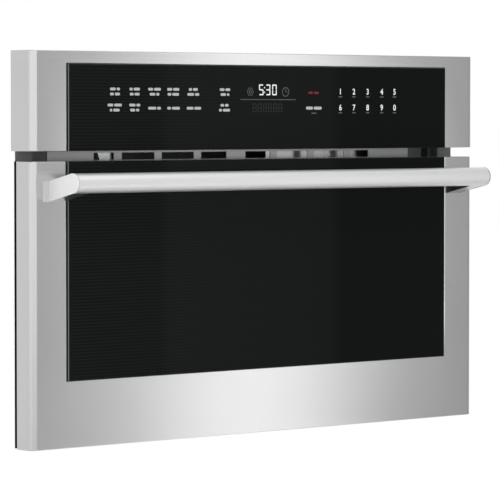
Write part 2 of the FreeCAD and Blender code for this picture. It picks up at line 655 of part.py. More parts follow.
def folded_front(front, back, low, high, window):
    """A stainless front with rounded upright corners and returns, open at the back."""
    body = body_at("0", back, "0")
    outline = sketch_in(body, "XZ_Plane")
    rectangle(outline, ("-front_half", "front_half"), (low, high))
    block = pad(body, outline, f"({back}) - ({front})")
    depth = block.Shape.BoundBox.YMin
    upright = [
        f"Edge{k}" for k, edge in enumerate(block.Shape.Edges, 1)
        if edge.BoundBox.YMax < depth + NEAR and edge.BoundBox.XLength < NEAR
    ]
    corners = body.newObject("PartDesign::Fillet", "corners")
    corners.Base = (block, upright)
    bind(corners, "Radius", "corner_radius")
    doc.recompute()
    rear = [
        f"Face{k}" for k, face in enumerate(corners.Shape.Faces, 1)
        if face.BoundBox.YMin > -NEAR and face.BoundBox.YLength < NEAR
    ]
    shell = body.newObject("PartDesign::Thickness", "shell")
    shell.Base = (corners, rear)
    shell.Reversed = True
    bind(shell, "Value", "skin_thick")
    doc.recompute()
    cutout = sketch_in(body, "XZ_Plane")
    bind(cutout, "AttachmentOffset.Base.z", f"({back}) - ({front})")
    rectangle(cutout, *window)
    pocket(body, cutout, "glass_thick - glass_proud + relief_gap")
    return body


# Flange that laps the cabinet face
flange_holes = [
    (f"{side} * (flange_half - mount_inset)", height, "mount_bore")
    for side in ("-1", "1") for height in ("mount_low", "mount_low + mount_rise")
]
flange = sheet_plate(
    "0", "flange_thick", ("-flange_half", "flange_half"), ("flange_low", "flange_high"),
    [(("-opening_half", "opening_half"), ("opening_floor", "case_height - opening_cover"))],
    flange_holes)
step = sketch_in(flange, "XZ_Plane")
rectangle(step, ("-case_half - flange_ledge", "case_half + flange_ledge"),
          ("flange_low - flange_ledge", "case_height + flange_ledge"))
pocket(flange, step, "flange_step")
piece("mounting_flange", flange)

# Case
piece("base_plate", box(("-case_half", "case_half"), ("-flange_step", "case_depth"), ("0", "base_thick")))
for name, (low, high) in zip(("right_side_panel", "left_side_panel"), both("case_inner", "case_half")):
    piece(name, box((low, high), ("-flange_step", "case_back"), ("base_thick", "case_top")))
piece("top_cover", box(("-case_half", "case_half"), ("-flange_step", "case_depth"), ("case_top", "case_height")))

REAR_SLOTS = 9
rear_windows = []
for k in range(REAR_SLOTS):
    start = f"-case_half + rear_slot_side + {k} * rear_slot_pitch"
    rear_windows.append(((start, f"{start} + rear_slot_wide"),
                         ("deck_top + rear_slot_lift", "deck_top + rear_slot_lift + rear_slot_tall")))
rear_holes = [
    (f"{side} * (case_half - rear_screw_edge)", height, "rear_hole")
    for side in ("-1", "1")
    for height in ("rear_screw_low", "rear_screw_mid", "case_top - rear_screw_drop")
]
piece("rear_panel", sheet_plate(
    "case_depth", "case_thick", ("-case_half", "case_half"), ("base_thick", "case_top"),
    rear_windows, rear_holes + [("gland_x", "gland_z", "gland_hole")]))
rear_screws = []
for x, z, radius in rear_holes:
    head = rod("y", "rear_head", (x, "case_depth", z), "rear_head_tall")
    shank = rod("y", "rear_shank", (x, "case_back - rear_shank_long", z),
                "rear_shank_long + case_thick + rear_head_tall / 2")
    rear_screws.append(join(head, shank))
piece("rear_screws", group(*rear_screws))
gland_body = join(
    rod("y", "gland_collar", ("gland_x", "case_depth", "gland_z"), "gland_collar_thick"),
    rod("y", "gland_neck", ("gland_x", "case_back - gland_inside", "gland_z"),
        "gland_inside + case_thick + gland_collar_thick / 2"),
    rod("y", "gland_tail", ("gland_x", "case_depth", "gland_z"), "gland_tail_long"))
piece("cord_gland", cut(gland_body, rod(
    "y", "cord_bore", ("gland_x", "case_back - gland_inside - over", "gland_z"),
    "gland_inside + case_thick + gland_tail_long + 2 * over")))

# Front frame of the oven, with the mouth, the air outlet and the latch slots
frame_windows = [
    (("-cavity_half", "cavity_half"), ("cavity_floor", "cavity_top")),
    (("-duct_half + outlet_inset", "duct_half - outlet_inset"),
     ("slot_low - outlet_gap", "slot_low + slot_height + outlet_gap")),
]
for low, high in both("hook_place - hook_slot_half", "hook_place + hook_slot_half"):
    frame_windows.append(((low, high), ("hook_slot_low", "hook_slot_low + hook_slot_tall")))
for low, high in both("case_half - side_vent_edge - side_vent_wide", "case_half - side_vent_edge"):
    frame_windows.append(((low, high), ("slot_low - side_vent_drop", "slot_low + side_vent_rise")))
piece("front_frame", sheet_plate(
    "mouth", "frame_thick", ("-case_inner", "case_inner"), ("base_thick", "case_top"), frame_windows))

slot_rows = []
start = "slot_start"
for width in ("slot_inner", "slot_wide", "slot_wide", "slot_outer"):
    for low, high in both(start, f"{start} + {width}"):
        slot_rows.append(((low, high), ("slot_low", "slot_low + slot_height")))
    start = f"{start} + {width} + slot_bar"
piece("vent_strip", sheet_plate(
    "recess", "strip_thick", ("-strip_half", "strip_half"),
    ("slot_low - strip_margin", "slot_low + slot_height + strip_cover"), slot_rows))

# Exhaust duct with the air baffles behind its slots
duct_outer = box(("-duct_half", "duct_half"), ("mouth", "mouth + duct_deep"),
                 ("slot_low - duct_drop", "slot_low + duct_rise"))
duct_inner = box(("-duct_half + duct_wall", "duct_half - duct_wall"),
                 ("mouth - over", "mouth + duct_deep - duct_wall"),
                 ("slot_low - duct_drop + duct_wall", "slot_low + duct_rise - duct_wall"))
baffle_z = ("slot_low - duct_drop + duct_wall / 2", "slot_low + duct_rise - duct_wall / 2")
right_baffle = box(("baffle_start", "baffle_start + baffle_wide"),
                   ("mouth + baffle_back", "mouth + baffle_back + baffle_thick"), baffle_z)
left_baffle = box(("-stop_start - stop_wide", "-stop_start"),
                  ("mouth + stop_back", "mouth + stop_back + baffle_thick"), baffle_z)
piece("exhaust_duct", join(cut(duct_outer, duct_inner), right_baffle, left_baffle))

# Oven cavity
liner_outer = box(("-liner_half", "liner_half"), ("mouth", "cavity_end"), ("liner_floor", "liner_top"))
liner_inner = box(
    ("-cavity_half", "cavity_half"), ("mouth - over", "cavity_end + over"), ("cavity_floor", "cavity_top"))
drive_hole = rod("z", "shaft_hole", ("0", "cavity_mid", "liner_floor - over"), "cavity_wall + 2 * over")
wave_port = box(("port_x", "port_x + port_wide"), ("port_y", "port_y + port_deep"),
                ("cavity_top - over", "liner_top + over"))
lamp_port = box(("-liner_half - over", "-cavity_half + over"), ("lamp_y + lamp_lap", "lamp_end - lamp_lap"),
                ("lamp_low + lamp_lap", "lamp_high - lamp_lap"))
piece("cavity_liner", cut(liner_outer, liner_inner, drive_hole, wave_port, lamp_port))

SLOT_ROWS = 6
back_slots = []
for k in range(-SLOT_ROWS, SLOT_ROWS + 1):
    place = f"{k} * fan_radius / {SLOT_ROWS + 1}"
    reach_share = math.sqrt(1 - (k / (SLOT_ROWS + 1)) ** 2)
    half = f"{reach_share:.4f} * (fan_radius - back_rim)"
    back_slots.append(((f"{place} - back_slot / 2", f"{place} + back_slot / 2"),
                       (f"fan_z - {half}", f"fan_z + {half}")))
piece("cavity_back", sheet_plate(
    "cavity_end + cavity_wall", "cavity_wall", ("-liner_half", "liner_half"), ("liner_floor", "liner_top"),
    back_slots, [("0", "fan_z", "back_pilot")]))
piece("waveguide_cover", box(
    ("port_x - mica_lap", "port_x + port_wide + mica_lap"),
    ("port_y - mica_lap", "port_y + port_deep + mica_lap"), ("cavity_top - mica_thick", "cavity_top")))

lamp_outer = box(("-liner_half - lamp_wide", "-liner_half"), ("lamp_y", "lamp_end"), ("lamp_low", "lamp_high"))
lamp_inner = box(
    ("-liner_half - lamp_wide + lamp_sheet", "-liner_half + over"),
    ("lamp_y + lamp_sheet", "lamp_end - lamp_sheet"), ("lamp_low + lamp_sheet", "lamp_high - lamp_sheet"))
bulb_x, bulb_z = "-cavity_half - bulb_out", "lamp_low + bulb_lift"
bulb = join(
    rod("y", "bulb_socket", (bulb_x, "lamp_y + lamp_sheet", bulb_z), "bulb_socket_long"),
    rod("y", "bulb_radius", (bulb_x, "lamp_y + lamp_sheet + bulb_socket_long - bulb_bite", bulb_z), "bulb_long"))
piece("oven_lamp", group(cut(lamp_outer, lamp_inner), bulb))


# Broil element: a sheathed tube in one long loop under the cavity top
def half_ring(radius, tube, x, y, z):
    """Half of a tube ring lying flat, its bend toward the front."""
    thing = doc.addObject("Part::Torus", "bend")
    bind(thing, "Radius1", radius)
    bind(thing, "Radius2", tube)
    thing.Angle3 = 180
    thing.Placement.Rotation = FreeCAD.Rotation(FreeCAD.Vector(0, 0, 1), 180)
    return put(thing, x, y, z)


element_bits = [half_ring("broil_half", "heater_tube", "0", "mouth + broil_start", "cavity_top - broil_drop")]
for x in ("-broil_half", "broil_half"):
    element_bits.append(rod("y", "heater_tube", (x, "mouth + broil_start", "cavity_top - broil_drop"),
                            "cavity_depth - broil_start"))
piece("broil_element", join(*element_bits))


# Turntable drive
def pegs(first, reach, radius, low, length):
    """Three upright pegs round the turntable axis, the first at an angle in degrees."""
    return [
        rod("z", radius, (f"{reach} * cos({first + 120 * k} deg)",
                          f"cavity_mid + {reach} * sin({first + 120 * k} deg)", low), length)
        for k in range(3)
    ]


motor_can = rod("z", "motor_radius", ("0", "cavity_mid", "liner_floor - motor_tall"), "motor_tall")
motor_ears = box(("-ear_half", "ear_half"), ("cavity_mid - ear_wide / 2", "cavity_mid + ear_wide / 2"),
                 ("liner_floor - ear_thick", "liner_floor"))
piece("turntable_motor", join(motor_can, motor_ears))
coupler_parts = [
    rod("z", "coupler_shaft", ("0", "cavity_mid", "liner_floor + coupler_gap"), "coupler_long"),
    rod("z", "coupler_hub", ("0", "cavity_mid", "cavity_floor + coupler_lift"),
        "tray_lift - coupler_lift - lay_gap"),
]
coupler_parts += pegs(90, "coupler_reach", "coupler_arm", "cavity_floor + coupler_arm_lift",
                      "tray_lift - coupler_arm_lift - lay_gap")
piece("turntable_coupler", join(*coupler_parts))

tray_base = rod("z", "tray_radius", ("0", "cavity_mid", "tray_low"), "tray_thick + tray_rim")
tray_well = rod("z", "tray_radius - tray_wall", ("0", "cavity_mid", "tray_low + tray_thick"), "tray_rim + over")
tray_lugs = pegs(30, "tray_lug_reach", "tray_lug", "tray_low - tray_lug_drop", "tray_lug_drop + tray_thick / 2")
piece("turntable_glass", join(cut(tray_base, tray_well), *tray_lugs))

ring_out = "roller_place - roller_wide / 2 - ring_gap"
ring_band = cut(
    rod("z", ring_out, ("0", "cavity_mid", "axle_z - ring_tall / 2"), "ring_tall"),
    rod("z", f"{ring_out} - ring_wide", ("0", "cavity_mid", "axle_z - ring_tall"), "2 * ring_tall"))


def spoke(angle, radius, begin, length):
    """A rod at axle height that points away from the turntable axis."""
    thing = doc.addObject("Part::Cylinder", "spoke")
    bind(thing, "Radius", radius)
    bind(thing, "Height", length)
    thing.Placement.Rotation = FreeCAD.Rotation(FreeCAD.Vector(0, 0, 1), angle).multiply(TURN["x"])
    return put(thing, f"({begin}) * cos({angle} deg)", f"cavity_mid + ({begin}) * sin({angle} deg)", "axle_z")


ring_axles = []
roller_turns = []
for angle in (90, 210, 330):
    inner = "roller_place - roller_wide / 2"
    ring_axles.append(spoke(angle, "axle_radius", f"{inner} - axle_in", "axle_in + roller_wide + axle_out"))
    wheel = spoke(angle, "roller_radius", inner, "roller_wide")
    roller_turns.append(cut(wheel, spoke(
        angle, "axle_radius + pin_fit", f"{inner} - over", "roller_wide + 2 * over")))
piece("roller_ring", join(ring_band, *ring_axles))
for k, wheel in enumerate(roller_turns, 1):
    piece(f"roller_{k}", wheel)

# Convection fan behind the cavity
pan_tall = "pan_half - pan_trim"
pan_outer = box(("-pan_half", "pan_half"), ("cavity_end + cavity_wall", "pan_back"),
                (f"fan_z - ({pan_tall})", f"fan_z + {pan_tall}"))
pan_inner = box(("-pan_half + pan_sheet", "pan_half - pan_sheet"), ("cavity_end - over", "pan_back - pan_sheet"),
                (f"fan_z - ({pan_tall}) + pan_sheet", f"fan_z + {pan_tall} - pan_sheet"))
piece("convection_housing", cut(pan_outer, pan_inner, rod(
    "y", "pan_hole", ("0", "pan_back - pan_sheet - over", "fan_z"), "pan_sheet + 2 * over")))
ring = doc.addObject("Part::Torus", "heater")
bind(ring, "Radius1", "heater_ring")
bind(ring, "Radius2", "heater_tube")
ring.Placement.Rotation = TURN["y"]
put(ring, "0", "cavity_end + heater_back", "fan_z")
heater_clips = [
    box((f"{x} - clip_wide / 2", f"{x} + clip_wide / 2"),
        ("cavity_end + heater_back + heater_tube + lay_gap", "pan_back - pan_sheet"),
        ("fan_z - clip_tall / 2", "fan_z + clip_tall / 2"))
    for x in ("-heater_ring", "heater_ring")
]
piece("convection_heater", group(ring, *heater_clips))
fan_bits = [
    rod("y", "fan_shaft", ("0", "cavity_end + fan_shaft_back", "fan_z"),
        "pan_back + fan_shaft_out - cavity_end - fan_shaft_back"),
    rod("y", "fan_radius", ("0", "cavity_end + fan_plate_back", "fan_z"), "fan_sheet"),
    rod("y", "fan_hub", ("0", "cavity_end + fan_hub_back", "fan_z"), "fan_hub_long"),
]
BLADES = 10
for k in range(BLADES):
    angle = 360 / BLADES * k
    blade = doc.addObject("Part::Box", "blade")
    bind(blade, "Length", "fan_radius - blade_start - blade_trim")
    bind(blade, "Width", "blade_deep")
    bind(blade, "Height", "fan_sheet")
    blade.Placement.Rotation = FreeCAD.Rotation(FreeCAD.Vector(0, 1, 0), -angle)
    fan_bits.append(put(blade, f"blade_start * cos({angle:g} deg)", "cavity_end + blade_back",
                        f"fan_z + blade_start * sin({angle:g} deg)"))
piece("convection_fan", join(*fan_bits))
stator_bits = [box(("-stator_half", "stator_half"), ("pan_back + stator_off", "pan_back + stator_off + stator_deep"),
                   ("fan_z - stator_half", "fan_z + stator_half"))]
ends = (("-stator_half", "-stator_half + stator_leg"), ("stator_half - stator_leg", "stator_half"))
for x in ends:
    for low, high in ends:
        stator_bits.append(box(x, ("pan_back", "pan_back + stator_off + stator_bite"),
                               (f"fan_z + ({low})", f"fan_z + ({high})")))
piece("convection_motor", cut(join(*stator_bits), rod(
    "y", "fan_shaft + pin_fit", ("0", "pan_back + stator_off - over", "fan_z"), "over + stator_bore")))

# Deck above the cavity and what it carries
piece("component_deck", cut(
    box(("-case_inner", "case_inner"), ("mouth", "case_back"), ("deck_height", "deck_top")),
    box(("guide_x - deck_clear", "guide_right + deck_clear"), ("guide_y - deck_clear", "guide_end + deck_clear"),
        ("deck_height - over", "deck_top + over"))))
guide_outer = box(("guide_x", "guide_right"), ("guide_y", "guide_end"), ("liner_top", "tube_low"))
guide_inner = box(("guide_x + guide_wall", "guide_right - guide_wall"),
                  ("guide_y + guide_wall", "guide_end - guide_wall"), ("liner_top - over", "tube_low - guide_wall"))
piece("waveguide", cut(guide_outer, guide_inner, rod(
    "z", "antenna_hole", ("tube_x", "tube_y - antenna_ahead", "tube_low - guide_wall - over"),
    "guide_wall + 2 * over")))
yoke_outer = box(("tube_x - yoke_wide / 2", "tube_x + yoke_wide / 2"),
                 ("tube_y - yoke_deep / 2", "tube_y + yoke_deep / 2"), ("tube_low", "yoke_top"))
yoke_inner = box(("tube_x - yoke_wide / 2 + yoke_sheet", "tube_x + yoke_wide / 2 - yoke_sheet"),
                 ("tube_y - yoke_deep / 2 - over", "tube_y + yoke_deep / 2 + over"),
                 ("tube_low + yoke_sheet", "yoke_top - yoke_sheet"))
FINS = 7
fin_half = "yoke_wide / 2 - yoke_sheet + fin_bite"
fins = [
    box((f"tube_x - ({fin_half})", f"tube_x + {fin_half}"),
        ("tube_y - yoke_deep / 2 + fin_inset", "tube_y + yoke_deep / 2 - fin_inset"),
        (f"tube_low + fin_start + {k} * fin_pitch", f"tube_low + fin_start + {k} * fin_pitch + fin_thick"))
    for k in range(FINS)
]
piece("magnetron", join(
    cut(yoke_outer, yoke_inner), *fins, rod("z", "anode_radius", ("tube_x", "tube_y", "tube_low"), "anode_tall"),
    rod("z", "antenna_radius", ("tube_x", "tube_y - antenna_ahead", "tube_low - antenna_drop"),
        "antenna_drop + antenna_bite"),
    box(("tube_x - filter_wide / 2", "tube_x + filter_wide / 2"),
        ("tube_y - filter_deep / 2", "tube_y + filter_deep / 2"), ("yoke_top", "yoke_top + filter_tall"))))

core = box(("core_left", "core_right"), ("core_y", "core_end"), ("deck_top", "deck_top + core_tall"))
coil_room = []
coils = []
for low in ("deck_top + core_leg", "deck_top + core_leg + coil_tall + core_middle"):
    coil_room.append(box(("core_left + core_leg", "core_right - core_leg"), ("core_y - over", "core_end + over"),
                         (low, f"{low} + coil_tall")))
    coils.append(box(("core_left + core_leg + coil_clear", "core_right - core_leg - coil_clear"),
                     ("core_y - coil_out", "core_end + coil_out"), (low, f"{low} + coil_tall")))
piece("power_transformer", group(cut(core, *coil_room), *coils))
can = join(
    box(("can_left", "can_right"), ("can_y - can_radius", "can_y + can_radius"), ("deck_top", "deck_top + can_tall")),
    rod("z", "can_radius", ("can_left", "can_y", "deck_top"), "can_tall"),
    rod("z", "can_radius", ("can_right", "can_y", "deck_top"), "can_tall"))
lugs = [
    box((x, f"{x} + lug_wide"), ("can_y - lug_thick / 2", "can_y + lug_thick / 2"),
        ("deck_top + can_tall - lug_thick", "deck_top + can_tall + lug_tall"))
    for x in ("can_left + lug_first", "can_left + lug_first + lug_pitch")
]
piece("capacitor", join(can, *lugs))


# Blower
def on_blower(radius, x, length):
    return rod("x", radius, (x, "blower_y", "blower_z"), length)


scroll_outer = box(("scroll_left", "scroll_right"), ("blower_y - scroll_half", "blower_y + scroll_half"),
                   ("deck_top", "deck_top + scroll_tall"))
scroll_inner = box(("scroll_left + scroll_sheet", "scroll_right - scroll_sheet"),
                   ("blower_y - scroll_half + scroll_sheet", "blower_y + scroll_half - scroll_sheet"),
                   ("deck_top + scroll_sheet", "deck_top + scroll_tall - scroll_sheet"))
scroll_mouth = box(("scroll_left + scroll_mouth_side", "scroll_right - scroll_mouth_side"),
                   ("blower_y - scroll_half - over", "blower_y - scroll_half + scroll_sheet + over"),
                   ("deck_top + scroll_mouth_low", "deck_top + scroll_mouth_low + scroll_mouth_tall"))
piece("blower_housing", cut(
    scroll_outer, scroll_inner, scroll_mouth,
    on_blower("wheel_radius - inlet_lap", "scroll_left - over", "scroll_sheet + 2 * over"),
    on_blower("shaft_way", "scroll_right - scroll_sheet - over", "scroll_sheet + 2 * over")))
wheel_bits = [
    on_blower("wheel_shaft", "scroll_left + wheel_shaft_in", "scroll_wide - wheel_shaft_in + wheel_shaft_out"),
    on_blower("wheel_radius", "disc_left", "wheel_disc"),
    on_blower("wheel_hub", "disc_left + wheel_disc / 2 - wheel_hub_long", "wheel_hub_long"),
    cut(on_blower("wheel_radius", "wheel_left", "wheel_ring"),
        on_blower("wheel_radius - wheel_rim", "wheel_left - over", "wheel_ring + 2 * over")),
]
VANES = 18
for k in range(VANES):
    angle = 360 / VANES * k
    vane = doc.addObject("Part::Box", "vane")
    bind(vane, "Length", "wheel_wide + wheel_disc / 2")
    bind(vane, "Width", "vane_deep")
    bind(vane, "Height", "vane_thick")
    vane.Placement.Rotation = FreeCAD.Rotation(FreeCAD.Vector(1, 0, 0), angle)
    reach = "(wheel_radius - vane_deep - vane_inset)"
    wheel_bits.append(put(vane, "wheel_left", f"blower_y + {reach} * cos({angle:g} deg)",
                          f"blower_z + {reach} * sin({angle:g} deg)"))
piece("blower_wheel", join(*wheel_bits))
blower_can = box(("spinner_left", "spinner_left + spinner_long"),
                 ("blower_y - spinner_half", "blower_y + spinner_half"), ("deck_top", "deck_top + spinner_tall"))
piece("blower_motor", cut(blower_can, on_blower(
    "wheel_shaft + pin_fit", "spinner_left - over", "over + spinner_bore")))

# Control panel
bezel = folded_front(
    "panel_front", "0", "panel_bottom", "panel_top",
    (("-open_half", "open_half"), ("panel_bottom - over", "panel_top - top_strip")))
flange_way = box(("-flange_half - flange_side_gap", "flange_half + flange_side_gap"),
                 ("-flange_thick - flange_gap", "over"),
                 ("panel_bottom - over", "panel_bottom + skin_thick + flange_side_gap"))
piece("control_bezel", cut(bezel, flange_way))
piece("control_glass", sheet_plate(
    "panel_glass_back", "glass_thick", ("-glass_half", "glass_half"),
    ("panel_bottom", "panel_top - top_strip - glass_gap / 2")))
carrier_outer = box(("-carrier_half", "carrier_half"), ("panel_glass_back", "-flange_thick"),
                    ("panel_bottom + skin_thick", "panel_top - skin_thick"))
carrier_inner = box(
    ("-carrier_half + carrier_wall", "carrier_half - carrier_wall"), ("panel_glass_back + carrier_wall", "over"),
    ("panel_bottom + skin_thick + carrier_wall", "panel_top - skin_thick - carrier_wall"))
display_foot = "panel_bottom + display_low"
display_hole = box(("-display_half - display_side_gap", "display_half + display_side_gap"),
                   ("panel_glass_back - over", "panel_glass_back + carrier_wall + over"),
                   (f"{display_foot} - display_gap", f"{display_foot} + display_tall + display_gap"))
bosses = [
    rod("y", "boss_radius", (f"{side} * (board_half - boss_side)",
                             "panel_glass_back + carrier_wall - boss_bite", z),
        "board_stand - carrier_wall + boss_bite")
    for side in ("-1", "1") for z in ("board_foot + boss_inset", "board_foot + board_tall - boss_inset")
]
piece("control_carrier", join(cut(carrier_outer, carrier_inner, display_hole), *bosses))
board_plate = box(("-board_half", "board_half"), ("board_front", "board_front + board_thick"),
                  ("board_foot", "board_foot + board_tall"))
# Parts on the board: start and width of its half width, height of its height, depth of the highest part
CHIP_SHARES = ((-0.77, 0.09, 0.4, 0.2), (-0.46, 0.15, 0.3, 0.5), (0.23, 0.07, 0.5, 0.75), (0.58, 0.19, 0.5, 1))
chips = [
    box((f"{start_share} * board_half", f"{start_share + wide_share:.2f} * board_half"),
        ("board_front + board_thick - chip_bite", f"board_front + board_thick + {deep_share} * chip_tall"),
        ("board_foot + chip_lift", f"board_foot + chip_lift + {tall_share} * board_tall"))
    for start_share, wide_share, tall_share, deep_share in CHIP_SHARES
]
piece("control_board", join(board_plate, *chips))
piece("display_module", box(("-display_half", "display_half"), ("panel_glass_back + lay_gap", "board_front"),
                            (display_foot, f"{display_foot} + display_tall")))


# Hinge arms on the front frame
def hinge_arm(side):
    low, high = ("arm_place - arm_thick / 2", "arm_place + arm_thick / 2")
    x = (low, high) if side > 0 else (f"-({high})", f"-({low})")
    nose = rod("x", "arm_nose", (x[0], "-hinge_y", "hinge_z"), "arm_thick")
    neck = box(x, ("-hinge_y - arm_nose", "-hinge_y + arm_nose"), ("hinge_z", "arm_low + arm_tall"))
    bar = box(x, ("-hinge_y", "recess"), ("arm_low", "arm_low + arm_tall"))
    middle = "arm_place" if side > 0 else "-arm_place"
    tab = box((f"{middle} - tab_wide / 2", f"{middle} + tab_wide / 2"), ("recess - tab_thick", "recess"),
              ("arm_low", "arm_low + tab_tall"))
    bore = rod("x", "pin_radius + pin_fit", (f"{x[0]} - over", "-hinge_y", "hinge_z"), "arm_thick + 2 * over")
    return cut(join(nose, neck, bar, tab), bore)


piece("hinge_arms", group(hinge_arm(1), hinge_arm(-1)))

# Door
arm_ways = [
    box(x, ("-hinge_slot_front", "door_back + over"), ("door_bottom - over", "hinge_slot_top"))
    for x in both("arm_place - hinge_slot / 2", "arm_place + hinge_slot / 2")
]
hook_ways = [
    box(x, ("door_back - frame_sheet - over", "door_back + over"), ("hook_slot_low", "hook_slot_low + hook_slot_tall"))
    for x in both("hook_place - hook_slot_half", "hook_place + hook_slot_half")
]
screw_ways = [
    rod("y", "screw_radius + screw_fit", (x, "door_front - over", "screw_z"), "skin_thick + 2 * over")
    for x in ("-screw_x", "screw_x")
]
skin = folded_front(
    "door_front", "door_back", "door_bottom", "door_top",
    (("-open_half", "open_half"), ("door_bottom + bottom_band", "door_top + over")))
piece("door_skin", cut(skin, *arm_ways, *screw_ways))
piece("door_glass", sheet_plate(
    "door_glass_back", "glass_thick", ("-glass_half", "glass_half"),
    ("door_bottom + bottom_band + glass_gap / 2", "door_top")))
tray_x = ("-carrier_half", "carrier_half")
tray_z = ("door_bottom + skin_thick + frame_gap", "door_top - skin_thick - fold_gap")
backing = box((f"{tray_x[0]} + frame_sheet", f"{tray_x[1]} - frame_sheet"), ("door_glass_back", "backing_back"),
              (f"{tray_z[0]} + frame_sheet", "door_top - skin_thick - backing_gap"))
backing_window = box(
    ("-front_half + backing_side", "front_half - backing_side"), ("door_glass_back - over", "backing_back + over"),
    ("door_bottom + bottom_band + backing_foot", "door_top - backing_top"))
driver_ways = [
    rod("y", "driver_hole", (x, "door_glass_back - over", "screw_z"), "backing_thick + 2 * over")
    for x in ("-screw_x", "screw_x")
]
piece("glass_backing", cut(backing, backing_window, *driver_ways))

frame_block = box(tray_x, ("skin_back + lay_gap", "door_back"), tray_z)
frame_hollow = box(
    (f"{tray_x[0]} + frame_sheet", f"{tray_x[1]} - frame_sheet"), ("skin_back - over", "door_back - frame_sheet"),
    (f"{tray_z[0]} + frame_sheet", f"{tray_z[1]} - frame_sheet"))
window_z = ("window_floor", "window_floor + window_height")
window_way = box(("-window_half", "window_half"), ("door_back - frame_sheet - over", "door_back + over"), window_z)
rear_plate = box(("-front_half + skin_thick", "front_half - skin_thick"),
                 ("door_back - frame_sheet", "door_back"), ("door_bottom + skin_thick", tray_z[1]))
top_relief = box(("-open_half", "open_half"), ("skin_back - over", "door_glass_back + relief_gap"),
                 ("door_top - backing_top", "door_top + over"))
piece("door_frame", cut(
    join(cut(frame_block, frame_hollow), rear_plate), window_way, top_relief, *arm_ways, *hook_ways))

plug_block = box(("-plug_half", "plug_half"), ("door_back", "plug_back"), ("plug_floor", "plug_top"))
plug_hollow = box(
    ("-plug_half + frame_sheet", "plug_half - frame_sheet"), ("door_back - over", "plug_back - frame_sheet"),
    ("plug_floor + frame_sheet", "plug_top - frame_sheet"))
plug_window = box(("-window_half", "window_half"), ("door_back - over", "plug_back + over"), window_z)
piece("choke_frame", cut(plug_block, plug_hollow, plug_window))
choke_outer = box(("-plug_half + cover_inset", "plug_half - cover_inset"), ("plug_back", "plug_back + cover_thick"),
                  ("plug_floor + cover_inset", "plug_top - cover_inset"))
choke_inner = box(("-window_half", "window_half"), ("plug_back - over", "plug_back + cover_thick + over"), window_z)
piece("choke_cover", cut(choke_outer, choke_inner))
pane_x = ("-window_half - window_lap", "window_half + window_lap")
pane_z = ("window_floor - window_lap", "window_floor + window_height + window_lap")
pane_front = "plug_back - frame_sheet - glass_thick"
piece("inner_glass", box(pane_x, (pane_front, "plug_back - frame_sheet"), pane_z))
piece("window_screen", box(pane_x, (f"{pane_front} - screen_thick", pane_front), pane_z))

# Hinge channels, pins and springs in the door
channel_set = []
pin_set = []
for x in both("arm_place - channel_half", "arm_place + channel_half"):
    low, high = x
    front = "backing_back + lay_gap"
    block = box(x, (front, "door_back - frame_sheet"), (f"{tray_z[0]} + frame_sheet + lay_gap", "channel_tall"))
    way = box((f"{low} + cheek_thick", f"{high} - cheek_thick"), (f"{front} + cheek_thick / 2", "door_back + over"),
              ("door_bottom - over", "channel_tall + over"))
    bore = rod("x", "pin_radius + pin_fit", (f"{low} - over", "-hinge_y", "hinge_z"), "2 * channel_half + 2 * over")
    channel_set.append(cut(block, way, bore))
    start = f"{low} - pin_head" if low.startswith("arm") else f"{low} - pin_head - pin_out"
    pin_set.append(rod("x", "pin_radius", (start, "-hinge_y", "hinge_z"), "2 * channel_half + 2 * pin_head + pin_out"))
piece("hinge_channels", group(*channel_set))
piece("hinge_pins", group(*pin_set))

spring_set = []
spring_start = "arm_place + channel_half + spring_gap"
for low, high in both(spring_start, f"{spring_start} + spring_long"):
    wound = rod("x", "spring_coil + spring_wire", (low, "-hinge_y", "hinge_z"), "spring_long")
    core = rod("x", "spring_coil - spring_wire", (f"{low} - over", "-hinge_y", "hinge_z"), "spring_long + 2 * over")
    spring_set.append(cut(wound, core))
piece("hinge_springs", group(*spring_set))

# Handle
bar = body_at("-handle_half + post_cheek", "bar_y", "bar_z")
bar_ring = sketch_in(bar, "YZ_Plane")
circle(bar_ring, "0", "0", "handle_radius")
circle(bar_ring, "0", "0", "handle_radius - handle_wall")
pad(bar, bar_ring, "2 * (handle_half - post_cheek)")
piece("handle_bar", bar)


def foot_flare(side):
    """The outward sweep of a post's foot where it meets the door."""
    thing = doc.addObject("Part::Wedge", "flare")
    inner, cheek, foot = "handle_half - post_cheek", "handle_half", "handle_half + flare_out"
    ranges = {"X": (inner, cheek), "X2": (inner, foot)} if side > 0 else {
        "X": (f"-{cheek}", f"-({inner})"), "X2": (f"-({foot})", f"-({inner})")}
    ranges["Y"] = ("door_front - flare_deep", "door_front")
    ranges["Z"] = ("flare_z - post_rise", "flare_z + post_rise")
    ranges["Z2"] = ("screw_z - post_rise", "screw_z + post_rise")
    for axis, (low, high) in ranges.items():
        bind(thing, f"{axis}min", low)
        bind(thing, f"{axis}max", high)
    return thing


